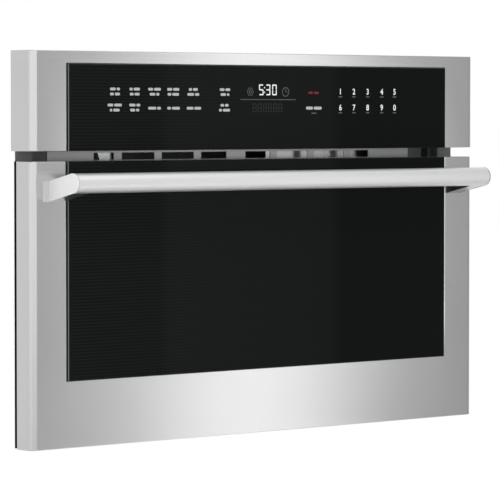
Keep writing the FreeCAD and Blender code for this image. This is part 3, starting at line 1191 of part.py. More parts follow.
post_set = []
for low, side in (("-handle_half", -1), ("handle_half - post_wide", 1)):
    nose = rod("x", "handle_radius", (low, "bar_y", "bar_z"), "post_wide")
    stem = doc.addObject("Part::Box", "stem")
    bind(stem, "Length", "post_wide")
    bind(stem, "Width", "handle_reach + 2 * handle_radius")
    bind(stem, "Height", "2 * handle_radius")
    stem.Placement.Rotation = FreeCAD.Rotation(FreeCAD.Vector(1, 0, 0), 1)
    bind(stem, "Placement.Rotation.Angle", "-1 * post_angle")
    put(stem, low, "bar_y - handle_radius * sin(post_angle * 1 deg)",
        "bar_z - handle_radius * cos(post_angle * 1 deg)")
    behind = box((f"{low} - over", f"{low} + post_wide + over"), ("door_front", "door_front + handle_reach"),
                 ("bar_z - handle_reach - 2 * handle_radius", "bar_z + handle_reach"))
    tube = rod("x", "handle_radius", ("-handle_half + post_cheek", "bar_y", "bar_z"),
               "2 * (handle_half - post_cheek)")
    tap = rod("y", "screw_radius + tap_fit", (f"{side} * screw_x", "door_front - tap_deep", "screw_z"),
              "tap_deep + over")
    post_set.append(cut(join(nose, stem, foot_flare(side)), behind, tube, tap))
piece("handle_posts", group(*post_set))
screw_set = []
for x in ("-screw_x", "screw_x"):
    head = rod("y", "screw_head", (x, "skin_back", "screw_z"), "screw_head_tall")
    shank = rod("y", "screw_radius", (x, "door_front - screw_in", "screw_z"),
                "screw_in + skin_thick + screw_head_tall / 2")
    screw_set.append(join(head, shank))
piece("handle_screws", group(*screw_set))

# Latch: one bar in the door carries both hooks
latch_bits = [rod("x", "latch_radius", ("-hook_place - latch_over", "-latch_y", "latch_z"),
                  "2 * hook_place + 2 * latch_over")]
for x in both("hook_place - hook_thick / 2", "hook_place + hook_thick / 2"):
    latch_bits.append(box(x, ("-latch_y", "hook_end"), ("hook_low", "hook_low + hook_tall")))
    latch_bits.append(box(x, ("hook_end - barb_long", "hook_end"), ("hook_low - barb_drop", "hook_low + barb_bite")))
piece("latch_bar", join(*latch_bits))
bearing_set = []
for x in both("hook_place - bearing_in - bearing_wide", "hook_place - bearing_in"):
    block = box(x, ("-latch_y - bearing_front", "door_back - frame_sheet"),
                ("latch_z - bearing_half", "latch_z + bearing_half"))
    bearing_set.append(cut(block, rod("x", "latch_radius + pin_fit", (f"{x[0]} - over", "-latch_y", "latch_z"),
                                      "bearing_wide + 2 * over")))
piece("latch_bearings", group(*bearing_set))

# Latch boards, interlock switches and their plungers on the oven
board_set = []
switch_set = []
plunger_set = []
for middle in ("hook_place", "-hook_place"):
    bed = box((f"{middle} - bed_half", f"{middle} + bed_half"), ("mouth", "mouth + bed_deep"), ("deck_top", "bed_top"))
    ledge = box((f"{middle} - ledge_half", f"{middle} + ledge_half"),
                ("mouth + ledge_back", "mouth + ledge_back + ledge_deep"),
                ("bed_top - ledge_bite", "hook_low - barb_drop - ledge_gap"))
    board_set.append(join(bed, ledge))
    front = "plunger_y + switch_back"
    case = box((f"{middle} - switch_half", f"{middle} + switch_half"), (front, f"{front} + switch_deep"),
               ("bed_top", "latch_z + switch_rise"))
    hole = rod("y", "plunger_radius + plunger_fit", (middle, f"{front} - over", "latch_z - plunger_drop"),
               "over + plunger_hole")
    switch_set.append(cut(case, hole))
    plunger_set.append(rod("y", "plunger_radius", (middle, "plunger_y", "latch_z - plunger_drop"), "plunger_long"))
piece("latch_boards", group(*board_set))
piece("interlock_switches", group(*switch_set))
piece("interlock_plungers", group(*plunger_set))

# Check every piece and write it out
doc.recompute()
for thing in doc.Objects:
    bad = [state for state in thing.State if state in ("Invalid", "Error")]
    if bad:
        raise RuntimeError(f"{thing.Label} ({thing.Name}): {bad}")
os.makedirs("parts", exist_ok=True)
for thing in pieces:
    shape = thing.Shape
    if not shape.isValid() or not shape.Solids or shape.Volume <= 0:
        raise RuntimeError(f"{thing.Label} has no valid solid")
    shape.exportStep(os.path.join("parts", f"{thing.Label}.step"))
print(len(pieces), "pieces")
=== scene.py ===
"""Looks of a built-in microwave oven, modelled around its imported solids."""
import json
import math

import bmesh
import bpy
from bpy.props import FloatProperty, FloatVectorProperty, PointerProperty
from mathutils import Matrix, Vector


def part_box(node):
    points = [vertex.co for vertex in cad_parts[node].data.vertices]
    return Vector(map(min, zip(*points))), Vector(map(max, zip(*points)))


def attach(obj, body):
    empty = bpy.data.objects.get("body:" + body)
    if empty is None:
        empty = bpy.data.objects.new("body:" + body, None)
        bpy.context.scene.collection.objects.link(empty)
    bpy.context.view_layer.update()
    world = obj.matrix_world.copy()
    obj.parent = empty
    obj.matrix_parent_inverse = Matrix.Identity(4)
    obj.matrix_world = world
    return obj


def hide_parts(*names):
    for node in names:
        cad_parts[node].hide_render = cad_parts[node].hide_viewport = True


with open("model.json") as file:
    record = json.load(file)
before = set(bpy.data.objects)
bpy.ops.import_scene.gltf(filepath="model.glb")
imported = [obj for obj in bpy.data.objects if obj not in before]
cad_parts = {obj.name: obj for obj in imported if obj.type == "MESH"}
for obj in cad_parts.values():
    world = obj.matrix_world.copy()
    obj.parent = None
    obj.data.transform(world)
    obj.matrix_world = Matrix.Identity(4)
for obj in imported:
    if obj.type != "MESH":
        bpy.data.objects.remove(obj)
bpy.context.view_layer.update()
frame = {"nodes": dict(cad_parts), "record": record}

bl_info = {
    "name": "Built-in Microwave Oven",
    "version": (1, 0, 0),
    "blender": (4, 5, 0),
    "location": "3D View > Sidebar > Oven",
    "description": "Fronts, glass, handle, key marks and finishes of a built-in microwave oven",
    "category": "Object",
}

MM = 0.001


def length(name, note, value):
    """A length that a user may change, given here in millimetres."""
    return FloatProperty(name=name, description=note, default=value * MM, unit="LENGTH", precision=5)


def tint(name, note, value):
    """A colour that a user may change."""
    return FloatVectorProperty(name=name, description=note, default=value, min=0.0, max=1.0, size=3,
                               subtype="COLOR")


class OvenSizes(bpy.types.PropertyGroup):
    """Sizes that the solids don't fix."""

    corner_radius: length("Corner radius", "Rounded upright corners of the steel fronts", 10.5)
    fold_radius: length("Fold radius", "Small outside radius of the other folds", 0.9)
    skin_thick: length("Sheet thickness", "Stainless sheet of the fronts", 1.0)
    notch_deep: length("Notch depth", "Depth to which the glass notch is cut through the fronts", 1.8)
    notch_side: length("Notch side", "Room beside the panes in that notch", 2.4)
    notch_reach: length("Notch reach", "Reach of the notch past the panes at the air gap", 5)
    notch_top: length("Notch top", "Room above the control pane", 1.2)
    notch_foot: length("Notch foot", "Room below the door's pane", 0.6)
    arm_place: length("Arm place", "Hinge arms off the middle", 330)
    arm_slot: length("Arm slot", "Slot in the door's lower fold for a hinge arm", 7)
    slot_ahead: length("Slot front", "Front of that slot ahead of the cabinet face", 31)
    # The edging is painted shade: a black strip for the shaded gap between the door's sides and the flange
    edging_wide: length("Edging width", "Width of the black edging on the flange's sides", 6)
    edging_wall: length("Edging thickness", "Thickness of that edging past the flange's edge", 1.3)
    edging_lip: length("Edging lip", "Thickness of that edging ahead of the flange", 0.3)
    glass_arris: length("Glass arris", "Ground arris round the front panes", 0.5)
    # Behind this depth the pane's edge takes the black glass as painted shade of the gap round it
    edge_deep: length("Ground edge depth", "Light ground part of the pane's edge", 2.3)
    baffle_lip: length("Baffle sheet", "Thickness of the bright sheets on the air baffles", 0.3)
    bead_rise: length("Bead rise", "Rise of the pressed beads on the case sheets", 1.2)
    screw_radius: length("Screw head", "Radius of the round sheet screw heads", 4.2)
    screw_rise: length("Head rise", "Height of those screw heads", 2.0)
    screw_slot: length("Screw recess", "Depth of the driver recess", 1.2)
    handle_radius: length("Handle radius", "Outside radius of the handle bar", 12.2)
    handle_wall: length("Handle wall", "Wall of the handle tube", 1.8)
    handle_arris: length("Bar arris", "Rounded ends of the handle bar", 0.4)
    bar_past: length("Bar past", "Handle bar past its solid at each end", 3.8)
    cap_thick: length("Cap thickness", "End cap past the handle bar", 1.0)
    cap_arris: length("Cap arris", "Rounded rim of the end caps", 0.6)
    stem_inset: length("Stem inset", "Post nose inside the bar's surface", 0.4)
    post_wide: length("Post width", "Width of a handle post", 26.2)
    flare_out: length("Foot flare", "Outward flare of a post's foot", 7.0)
    flare_deep: length("Foot depth", "Depth of that flare", 3.0)
    seam: length("Cap seam", "Dark joint between the handle bar and its end caps", 0.8)
    post_angle: FloatProperty(name="Post slant", description="Upward slant of the handle posts",
                              default=math.radians(12.6), subtype="ANGLE")
    stripe_pitch: length("Stripe pitch", "Spacing of the fine lines printed on the glass", 4.0)
    mark_relief: length("Mark relief", "Thickness of the printed key marks", 0.03)
    digit_height: length("Digit height", "Height of the printed key numbers", 7.4)


class OvenColours(bpy.types.PropertyGroup):
    """Colours of the main finishes."""

    front_steel: tint("Front steel", "Brushed stainless fronts", (0.55, 0.555, 0.552))
    handle_steel: tint("Handle steel", "Satin handle bar", (0.72, 0.725, 0.72))
    handle_cast: tint("Handle posts", "Satin cast posts", (0.94, 0.945, 0.942))
    front_glass: tint("Front glass", "Black printed glass", (0.0062, 0.0072, 0.0068))
    glass_stripe: tint("Glass stripes", "Fine lines printed behind the glass", (0.0145, 0.0158, 0.0152))
    glass_edge: tint("Glass edge", "Ground edge of the front panes", (0.2, 0.215, 0.21))
    print_white: tint("Key print", "Printed key marks", (0.46, 0.47, 0.47))
    print_dim: tint("Dim print", "Fainter printed marks", (0.12, 0.122, 0.122))
    print_red: tint("Stop mark", "Red printed mark", (0.16, 0.02, 0.03))
    lit_digit: tint("Lit digits", "Lit digits of the display", (0.9, 0.92, 0.93))


def sizes():
    """The sizes in use."""
    return bpy.context.scene.oven_sizes


def colours():
    """The colours in use."""
    return bpy.context.scene.oven_colours


# Shared effects

def link(tree, out, into):
    """Joins two sockets."""
    tree.links.new(out, into)


def feed(tree, node, inputs):
    """Puts sockets or numbers into the inputs of a node."""
    for label, value in inputs.items():
        if isinstance(value, bpy.types.NodeSocket):
            link(tree, value, node.inputs[label])
        else:
            node.inputs[label].default_value = value


def add_node(tree, kind, inputs=None, **settings):
    """A shader node with its settings and inputs."""
    node = tree.nodes.new("ShaderNode" + kind)
    for name, value in settings.items():
        setattr(node, name, value)
    feed(tree, node, inputs or {})
    return node


def maths(tree, kind, *values):
    """A Math node with sockets or numbers put in."""
    return add_node(tree, "Math", dict(enumerate(values)), operation=kind).outputs[0]


def between(tree, value, low, high, start=0.0, stop=1.0):
    """Spreads a value between two bounds over another range."""
    inputs = {"Value": value, "From Min": start, "From Max": stop, "To Min": low, "To Max": high}
    return add_node(tree, "MapRange", inputs, clamp=True).outputs["Result"]


def effect(name, inputs):
    """A shader group that takes Object coordinates and puts out one value."""
    group = bpy.data.node_groups.new(name, "ShaderNodeTree")
    group.interface.new_socket("Vector", in_out="INPUT", socket_type="NodeSocketVector")
    for label, value in inputs:
        socket = group.interface.new_socket(label, in_out="INPUT", socket_type="NodeSocketFloat")
        socket.default_value = value
    group.interface.new_socket("Value", in_out="OUTPUT", socket_type="NodeSocketFloat")
    result = group.nodes.new("NodeGroupOutput").inputs["Value"]
    return group, group.nodes.new("NodeGroupInput").outputs, result


def brushed_lines():
    """Fine lines that run level round the sheet, as a brushing belt leaves them."""
    group, given, result = effect("Brushed lines", (("Scale", 900.0), ("Run", 0.012)))
    level = maths(group, "MULTIPLY", given["Scale"], given["Run"])
    stretch = add_node(group, "CombineXYZ", {"X": level, "Y": level, "Z": given["Scale"]})
    place = add_node(group, "VectorMath", {0: given["Vector"], 1: stretch.outputs["Vector"]},
                     operation="MULTIPLY")
    noise = add_node(group, "TexNoise", {"Vector": place.outputs["Vector"], "Scale": 1.0, "Detail": 5.0,
                                         "Roughness": 0.65})
    link(group, noise.outputs["Fac"], result)
    return group


def soft_mottling():
    """Broad, soft patches, as hands, cleaning and coating leave them."""
    group, given, result = effect("Soft mottling", (("Scale", 12.0), ("Run", 1.0)))
    noise = add_node(group, "TexNoise", {"Vector": given["Vector"], "Scale": given["Scale"], "Detail": 4.0,
                                         "Roughness": 0.6, "Distortion": 0.6})
    link(group, noise.outputs["Fac"], result)
    return group


def fine_grain():
    """Even small grain, as on moulded plastic and powder paint."""
    group, given, result = effect("Fine grain", (("Scale", 1500.0), ("Run", 1.0)))
    cells = add_node(group, "TexVoronoi", {"Vector": given["Vector"], "Scale": given["Scale"],
                                           "Smoothness": 0.6}, feature="SMOOTH_F1")
    link(group, cells.outputs["Distance"], result)
    return group


def zinc_spangle():
    """Crystal patches of a zinc coating."""
    group, given, result = effect("Zinc spangle", (("Scale", 90.0), ("Run", 1.0)))
    cells = add_node(group, "TexVoronoi", {"Vector": given["Vector"], "Scale": given["Scale"],
                                           "Randomness": 1.0})
    split = add_node(group, "SeparateColor", {"Color": cells.outputs["Color"]})
    link(group, split.outputs["Red"], result)
    return group


def glass_stripes():
    """Fine level stripes that fade out towards the right."""
    inputs = (("Pitch", 0.004), ("Fade from", -0.32), ("Fade to", 0.1))
    group, given, result = effect("Glass stripes", inputs)
    split = add_node(group, "SeparateXYZ", {"Vector": given["Vector"]})
    saw = maths(group, "FRACT", maths(group, "DIVIDE", split.outputs["Z"], given["Pitch"]))
    wave = maths(group, "PINGPONG", saw, 0.5)
    crest = maths(group, "SMOOTH_MIN", maths(group, "MULTIPLY", wave, 2.0), 1.0, 0.2)
    fade = between(group, split.outputs["X"], 1.0, 0.1, given["Fade from"], given["Fade to"])
    link(group, maths(group, "MULTIPLY", maths(group, "POWER", crest, 1.5), fade), result)
    return group


def punched_holes():
    """A square pattern of small round holes in an upright sheet."""
    group, given, result = effect("Punched holes", (("Pitch", 0.0025), ("Hole", 0.34)))
    split = add_node(group, "SeparateXYZ", {"Vector": given["Vector"]})
    squares = []
    for letter in "XZ":
        cell = maths(group, "FRACT", maths(group, "DIVIDE", split.outputs[letter], given["Pitch"]))
        away = maths(group, "SUBTRACT", cell, 0.5)
        squares.append(maths(group, "MULTIPLY", away, away))
    reach = maths(group, "SQRT", maths(group, "ADD", *squares))
    link(group, maths(group, "LESS_THAN", reach, given["Hole"]), result)
    return group


EFFECTS = {}


def shared_effects():
    """Builds each shared effect once."""
    for maker in (brushed_lines, soft_mottling, fine_grain, zinc_spangle, glass_stripes, punched_holes):
        EFFECTS[maker.__name__] = maker()


# Finishes

def new_finish(name):
    """An empty finish with its shader and Object coordinates."""
    finish = bpy.data.materials.new(name)
    finish.use_nodes = True
    tree = finish.node_tree
    return finish, tree, tree.nodes["Principled BSDF"], add_node(tree, "TexCoord").outputs["Object"]


def use_effect(tree, place, name, **values):
    """Puts a shared effect in a finish and returns its value."""
    inputs = {label.capitalize(): value for label, value in values.items()}
    return add_node(tree, "Group", {"Vector": place, **inputs}, node_tree=EFFECTS[name]).outputs["Value"]


def blend_tint(tree, value, dark, light):
    """Mixes two colours by a value."""
    inputs = {"Factor": value, "A": (*dark, 1.0), "B": (*light, 1.0)}
    return add_node(tree, "Mix", inputs, data_type="RGBA").outputs["Result"]


def surface(name, colour, metallic, rough, pattern, scale, tone_share=0.06, rough_spread=0.05,
            height=0.0, run=1.0, specular=0.5):
    """A finish whose tone, roughness and relief follow one shared effect."""
    finish, tree, shader, place = new_finish(name)
    value = use_effect(tree, place, pattern, scale=scale, run=run)
    patches = use_effect(tree, place, "soft_mottling", scale=9.0)
    dark = [c * (1 - tone_share) for c in colour]
    light = [min(1.0, c * (1 + tone_share)) for c in colour]
    mixed = maths(tree, "MULTIPLY_ADD", patches, 0.5, maths(tree, "MULTIPLY", value, 0.5))
    feed(tree, shader, {
        "Base Color": blend_tint(tree, value, dark, light),
        "Roughness": between(tree, mixed, rough - rough_spread, rough + rough_spread),
        "Metallic": metallic,
        "Specular IOR Level": specular,
    })
    if height:
        bump = add_node(tree, "Bump", {"Strength": 1.0, "Distance": height, "Height": value})
        link(tree, bump.outputs["Normal"], shader.inputs["Normal"])
    return finish


def printed_glass():
    """Black glass with fine lines printed behind it."""
    finish, tree, shader, place = new_finish("Black printed glass")
    stripes = use_effect(tree, place, "glass_stripes", pitch=sizes().stripe_pitch)
    patches = use_effect(tree, place, "soft_mottling", scale=7.0)
    feed(tree, shader, {
        "Base Color": blend_tint(tree, stripes, colours().front_glass, colours().glass_stripe),
        "Roughness": between(tree, patches, 0.03, 0.07),
        "Specular IOR Level": 0.016,
    })
    return finish


def clear_glass(name, colour):
    """Clear tempered glass with faint smears."""
    finish, tree, shader, place = new_finish(name)
    patches = use_effect(tree, place, "soft_mottling", scale=11.0)
    feed(tree, shader, {
        "Base Color": (*colour, 1.0),
        "Roughness": between(tree, patches, 0.01, 0.06),
        "Transmission Weight": 1.0,
        "IOR": 1.5,
    })
    return finish


def screen_sheet():
    """Dark sheet with small punched holes."""
    finish, tree, shader, place = new_finish("Punched screen")
    holes = use_effect(tree, place, "punched_holes", pitch=2.5 * MM, hole=0.34)
    feed(tree, shader, {
        "Base Color": blend_tint(tree, holes, (0.026, 0.026, 0.027), (0.012, 0.012, 0.012)),
        "Roughness": between(tree, holes, 0.5, 0.7),
    })
    return finish


def print_ink(name, colour):
    """Printed ink with a slightly uneven lay."""
    return surface(name, colour, 0.0, 0.5, "fine_grain", 2500.0, tone_share=0.08, specular=0.1)


def lit_ink(name, colour):
    """Lit display segments."""
    finish, tree, shader, place = new_finish(name)
    patches = use_effect(tree, place, "soft_mottling", scale=160.0)
    feed(tree, shader, {
        "Base Color": (0.02, 0.02, 0.02, 1.0),
        "Emission Color": blend_tint(tree, patches, [c * 0.85 for c in colour], colour),
        "Emission Strength": 1.0,
    })
    return finish


FINISHES = {}


def shared_finishes():
    """Builds the finish of each material slot once."""
    tones = colours()
    FINISHES.update({
        "brushed_front_steel": surface(
            "Brushed front steel", tones.front_steel, 1.0, 0.235, "brushed_lines", 1400.0, tone_share=0.05,
            rough_spread=0.03, height=0.006 * MM, run=0.004),
        "handle_steel": surface(
            "Satin handle steel", tones.handle_steel, 1.0, 0.48, "brushed_lines", 2200.0, tone_share=0.04,
            rough_spread=0.04, height=0.004 * MM, run=0.006),
        "handle_casting": surface(
            "Satin handle casting", tones.handle_cast, 0.2, 0.46, "fine_grain", 2600.0, tone_share=0.03,
            height=0.003 * MM),
        # Darker metal on the foot flare: painted reflection of the post in the door steel beside its foot
        "foot_painted_reflection": surface(
            "Post foot with painted reflection", (0.54, 0.545, 0.54), 1.0, 0.4, "fine_grain", 2200.0, tone_share=0.05,
            height=0.003 * MM),
        # Darker copy of the post metal: painted shade on the undersides and inner sides of the handle posts
        "post_painted_shade": surface(
            "Painted shade on post undersides and inner sides", (0.5, 0.505, 0.5), 1.0, 0.3, "brushed_lines", 1400.0, tone_share=0.05,
            height=0.002 * MM, run=0.01),
        "dark_painted_steel": surface(
            "Satin dark paint", (0.165, 0.168, 0.168), 0.0, 0.42, "fine_grain", 1300.0, tone_share=0.1,
            height=0.01 * MM),
        "baffle_sheet": surface(
            "Bright deflector sheet", (0.5, 0.505, 0.5), 1.0, 0.28, "soft_mottling", 60.0),
        "zinc_coated_steel": surface(
            "Zinc-coated sheet", (0.5, 0.51, 0.515), 1.0, 0.4, "zinc_spangle", 120.0, tone_share=0.09,
            rough_spread=0.1),
        "vent_steel": surface(
            "Satin vent steel", (0.37, 0.372, 0.37), 1.0, 0.36, "brushed_lines", 1500.0, tone_share=0.08,
            height=0.006 * MM, run=0.01),
        "black_front_glass": printed_glass(),
        "glass_edge": surface(
            "Ground glass edge", tones.glass_edge, 0.0, 0.45, "fine_grain", 2200.0, tone_share=0.1),
        "clear_glass": clear_glass("Clear oven glass", (0.93, 0.965, 0.95)),
        "cavity_enamel": surface(
            "Grey oven enamel", (0.42, 0.42, 0.43), 0.0, 0.25, "soft_mottling", 60.0, tone_share=0.05,
            height=0.02 * MM),
        "black_plastic": surface(
            "Black moulded plastic", (0.022, 0.022, 0.023), 0.0, 0.45, "fine_grain", 1600.0,
            tone_share=0.12, height=0.02 * MM),
        # Black finish of the edging: painted shade in the gap beside the door
        "gap_shade_black": surface(
            "Black painted gap shade", (0.006, 0.006, 0.006), 0.0, 0.7, "fine_grain", 1600.0, tone_share=0.12,
            height=0.02 * MM, specular=0.1),
        "white_plastic": surface(
            "White moulded plastic", (0.76, 0.76, 0.74), 0.0, 0.4, "fine_grain", 1800.0, tone_share=0.03,
            height=0.01 * MM),
        "plain_steel": surface(
            "Bright plated steel", (0.5, 0.505, 0.5), 1.0, 0.28, "soft_mottling", 90.0, tone_share=0.1,
            rough_spread=0.1),
        "spring_steel": surface(
            "Plated spring steel", (0.55, 0.55, 0.55), 1.0, 0.25, "brushed_lines", 1600.0, tone_share=0.2,
            height=0.05 * MM),
        "heater_sheath": surface(
            "Oxidised heater tube", (0.14, 0.13, 0.12), 0.6, 0.5, "soft_mottling", 140.0, tone_share=0.35,
            rough_spread=0.12, height=0.03 * MM),
        "mica": surface("Mica board", (0.58, 0.55, 0.48), 0.0, 0.4, "zinc_spangle", 220.0, tone_share=0.16),
        "board_green": surface(
            "Circuit board", (0.03, 0.13, 0.06), 0.0, 0.3, "zinc_spangle", 260.0, tone_share=0.3),
        "motor_iron": surface(
            "Laminated iron", (0.16, 0.16, 0.165), 0.7, 0.5, "brushed_lines", 900.0, tone_share=0.25,
            height=0.05 * MM, run=0.01),
        "lamp_white": surface(
            "Lamp housing", (0.85, 0.83, 0.76), 0.0, 0.3, "soft_mottling", 120.0, tone_share=0.04),
        "capacitor_can": surface(
            "Drawn can", (0.6, 0.61, 0.61), 1.0, 0.3, "brushed_lines", 700.0, tone_share=0.08, run=0.02),
        "punched_screen": screen_sheet(),
        "key_print": print_ink("Key print", tones.print_white),
        "number_print": print_ink("Number print", [c * 1.8 for c in tones.print_white]),
        "dim_print": print_ink("Dim print", tones.print_dim),
        "red_print": print_ink("Red print", tones.print_red),
        "lit_digits": lit_ink("Lit digits", tones.lit_digit),
        "faint_digits": print_ink("Faint segments", [c * 0.21 for c in tones.print_dim]),
    })


def dress(*nodes, finish=None):
    """Gives solids the finish of their slot, or a named one."""
    slots = {row["node"]: row["material_slot"] for row in frame["record"]["subparts"]}
    for node in nodes:
        mesh = frame["nodes"][node].data
        mesh.materials.clear()
        mesh.materials.append(FINISHES[finish or slots[node]])


# Objects and meshes

def add_object(name, data):
    """A new object in the scene."""
    thing = bpy.data.objects.new(name, data)
    bpy.context.scene.collection.objects.link(thing)
    return thing


def mesh_from(bm, name):
    """A mesh made of a bmesh, which is freed."""
    mesh = bpy.data.meshes.new(name)
    bm.to_mesh(mesh)
    bm.free()
    return mesh


# Distances that count as nothing when points are welded, sheets are cut and places are compared
WELD, CUT, NEAR = 1e-7, 1e-8, 1e-6
# Part of a normal along an axis from which a face looks along that axis, also for slanted faces
FACING, SLANTED = 0.9, 0.5


def box_in(bm, low, high):
    """A closed box between two corners."""
    low, high = Vector(low), Vector(high)
    verts = bmesh.ops.create_cube(bm, size=1.0)["verts"]
    bmesh.ops.scale(bm, vec=high - low, verts=verts)
    bmesh.ops.translate(bm, vec=(low + high) / 2, verts=verts)
    return verts


def ease(bm, edges, width, segments):
    """Rounds edges."""
    bmesh.ops.bevel(bm, geom=edges, offset=width, affect="EDGES", segments=segments, profile=0.5,
                    material=-1, clamp_overlap=True)


def edges_along(bm, axis, verts=None):
    """Edges that run along one axis."""
    found = []
    chosen = set(verts) if verts else None
    for edge in bm.edges:
        if chosen and not set(edge.verts) <= chosen:
            continue
        run = edge.verts[1].co - edge.verts[0].co
        if run.length > 0 and abs(abs(run[axis]) - run.length) < WELD:
            found.append(edge)
    return found


def add_piece(bm, name, body, finishes, stands_for=(), angle=35.0):
    """Turns a bmesh into a piece that rides on a body."""
    bmesh.ops.remove_doubles(bm, verts=bm.verts, dist=WELD)
    bmesh.ops.recalc_face_normals(bm, faces=bm.faces)
    mesh = mesh_from(bm, name)
    for finish in finishes:
        mesh.materials.append(FINISHES[finish])
    mesh.shade_smooth()
    mesh.set_sharp_from_angle(angle=math.radians(angle))
    piece = add_object(name, mesh)
    even = piece.modifiers.new("Flat faces", "WEIGHTED_NORMAL")
    even.keep_sharp = True
    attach(piece, body)
    if stands_for:
        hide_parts(*stands_for)
    return piece


def cut_across(bm, *planes):
    """Cuts the whole mesh along planes, each given by a point and a normal."""
    for point, normal in planes:
        bmesh.ops.bisect_plane(bm, geom=bm.verts[:] + bm.edges[:] + bm.faces[:], dist=CUT,
                               plane_co=point, plane_no=normal)


def cut_window(bm, left, right, bottom, top):
    """Cuts the whole mesh along the sides of an upright window."""
    cut_across(bm, ((left, 0, 0), (1, 0, 0)), ((right, 0, 0), (1, 0, 0)),
               ((0, 0, bottom), (0, 0, 1)), ((0, 0, top), (0, 0, 1)))


def drop_faces(bm, low, high):
    """Deletes the faces whose middle lies between two corners."""
    inside = []
    for face in bm.faces:
        middle = face.calc_center_median()
        if all(a < b < c for a, b, c in zip(low, middle, high)):
            inside.append(face)
    bmesh.ops.delete(bm, geom=inside, context="FACES")


def grow(bm, face, way):
    """Extrudes a face and returns the points that moved."""
    grown = bmesh.ops.extrude_face_region(bm, geom=[face])["geom"]
    moved = [part for part in grown if isinstance(part, bmesh.types.BMVert)]
    bmesh.ops.translate(bm, vec=way, verts=moved)
    return moved


def turn_outline(bm, points, centre, axis, steps, closed=True):
    """Turns a line through points about an axis."""
    outline = [bm.verts.new(point) for point in points]
    after = outline[1:] + outline[:1] if closed else outline[1:]
    edges = [bm.edges.new(pair) for pair in zip(outline, after)]
    bmesh.ops.spin(bm, geom=outline + edges, cent=centre, axis=axis, angle=math.tau, steps=steps,
                   use_merge=True)


# Steel fronts

def folded_front(node, name, body, window, arm_slots=()):
    """A folded stainless front, open at the back, with its glass notch and slots cut out."""
    low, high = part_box(node)
    bm = bmesh.new()
    box_in(bm, low, high)
    back = [f for f in bm.faces if f.normal.y > FACING]
    bmesh.ops.delete(bm, geom=back, context="FACES_ONLY")
    upright = [e for e in edges_along(bm, 2) if e.verts[0].co.y < low.y + MM]
    ease(bm, upright, sizes().corner_radius, 10)
    bm.normal_update()
    rims = []
    for edge in bm.edges:
        if len(edge.link_faces) == 2:
            flat = sorted(abs(f.normal.z) for f in edge.link_faces)
            if flat[0] < 1 - FACING and flat[1] > FACING:
                rims.append(edge)
    ease(bm, rims, sizes().fold_radius, 3)
    left, right, bottom, top = window
    front = low.y + sizes().notch_deep
    cut_window(bm, *window)
    cut_across(bm, ((0, front, 0), (0, 1, 0)))
    drop_faces(bm, (left, -1, bottom), (right, front, top))
    for middle, wide, ahead in arm_slots:
        start, stop = middle - wide / 2, middle + wide / 2
        cut_across(bm, ((start, 0, 0), (1, 0, 0)), ((stop, 0, 0), (1, 0, 0)), ((0, ahead, 0), (0, 1, 0)))
        drop_faces(bm, (start, ahead, low.z - MM), (stop, high.y, low.z + MM))
    piece = add_piece(bm, name, body, ["brushed_front_steel"], [node], angle=50.0)
    wall = piece.modifiers.new("Sheet", "SOLIDIFY")
    wall.thickness = sizes().skin_thick
    wall.offset = -1.0
    piece.modifiers.move(1, 0)


class OVEN_OT_steel_fronts(bpy.types.Operator):
    """Folds the brushed fronts of the control panel and the door"""

    bl_idname = "oven.steel_fronts"
    bl_label = "Steel fronts"

    def execute(self, context):
        side, reach = sizes().notch_side, sizes().notch_reach
        low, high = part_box("control_glass")
        window = (low.x - side, high.x + side, low.z - reach, high.z + sizes().notch_top)
        folded_front("control_bezel", "control_panel_front", "chassis", window)
        low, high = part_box("door_glass")
        window = (low.x - side, high.x + side, low.z - sizes().notch_foot, high.z + reach)
        slots = [(way * sizes().arm_place, sizes().arm_slot, -sizes().slot_ahead) for way in (-1, 1)]
        folded_front("door_skin", "door_front", "door", window, slots)
        return {"FINISHED"}


class OVEN_OT_front_panes(bpy.types.Operator):
    """Makes the two black panes with their ground edges"""

    bl_idname = "oven.front_panes"
    bl_label = "Front panes"

    def execute(self, context):
        edge_limit = 0.6
        for node, body in (("control_glass", "chassis"), ("door_glass", "door")):
            low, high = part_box(node)
            bm = bmesh.new()
            box_in(bm, low, high)
            ease(bm, bm.edges[:], sizes().glass_arris, 2)
            # Only the front part of the edge takes the light ground finish; the edge behind it takes the
            # black glass as painted shade of the gap round the pane
            ground = low.y + sizes().edge_deep
            cut_across(bm, ((0, ground, 0), (0, 1, 0)))
            bm.normal_update()
            for face in bm.faces:
                on_edge = abs(face.normal.y) < edge_limit
                face.material_index = 1 if on_edge and face.calc_center_median().y < ground else 0
            finishes = ["black_front_glass", "glass_edge"]
            add_piece(bm, node + "_pane", body, finishes, [node])
        return {"FINISHED"}


# Handle

# Finishes of a post's faces, in the order of its material slots
POST_FINISHES = ["handle_casting", "dark_painted_steel", "foot_painted_reflection", "post_painted_shade"]
NOSE, FOOT, SHADED_FACES = 1, 2, 3


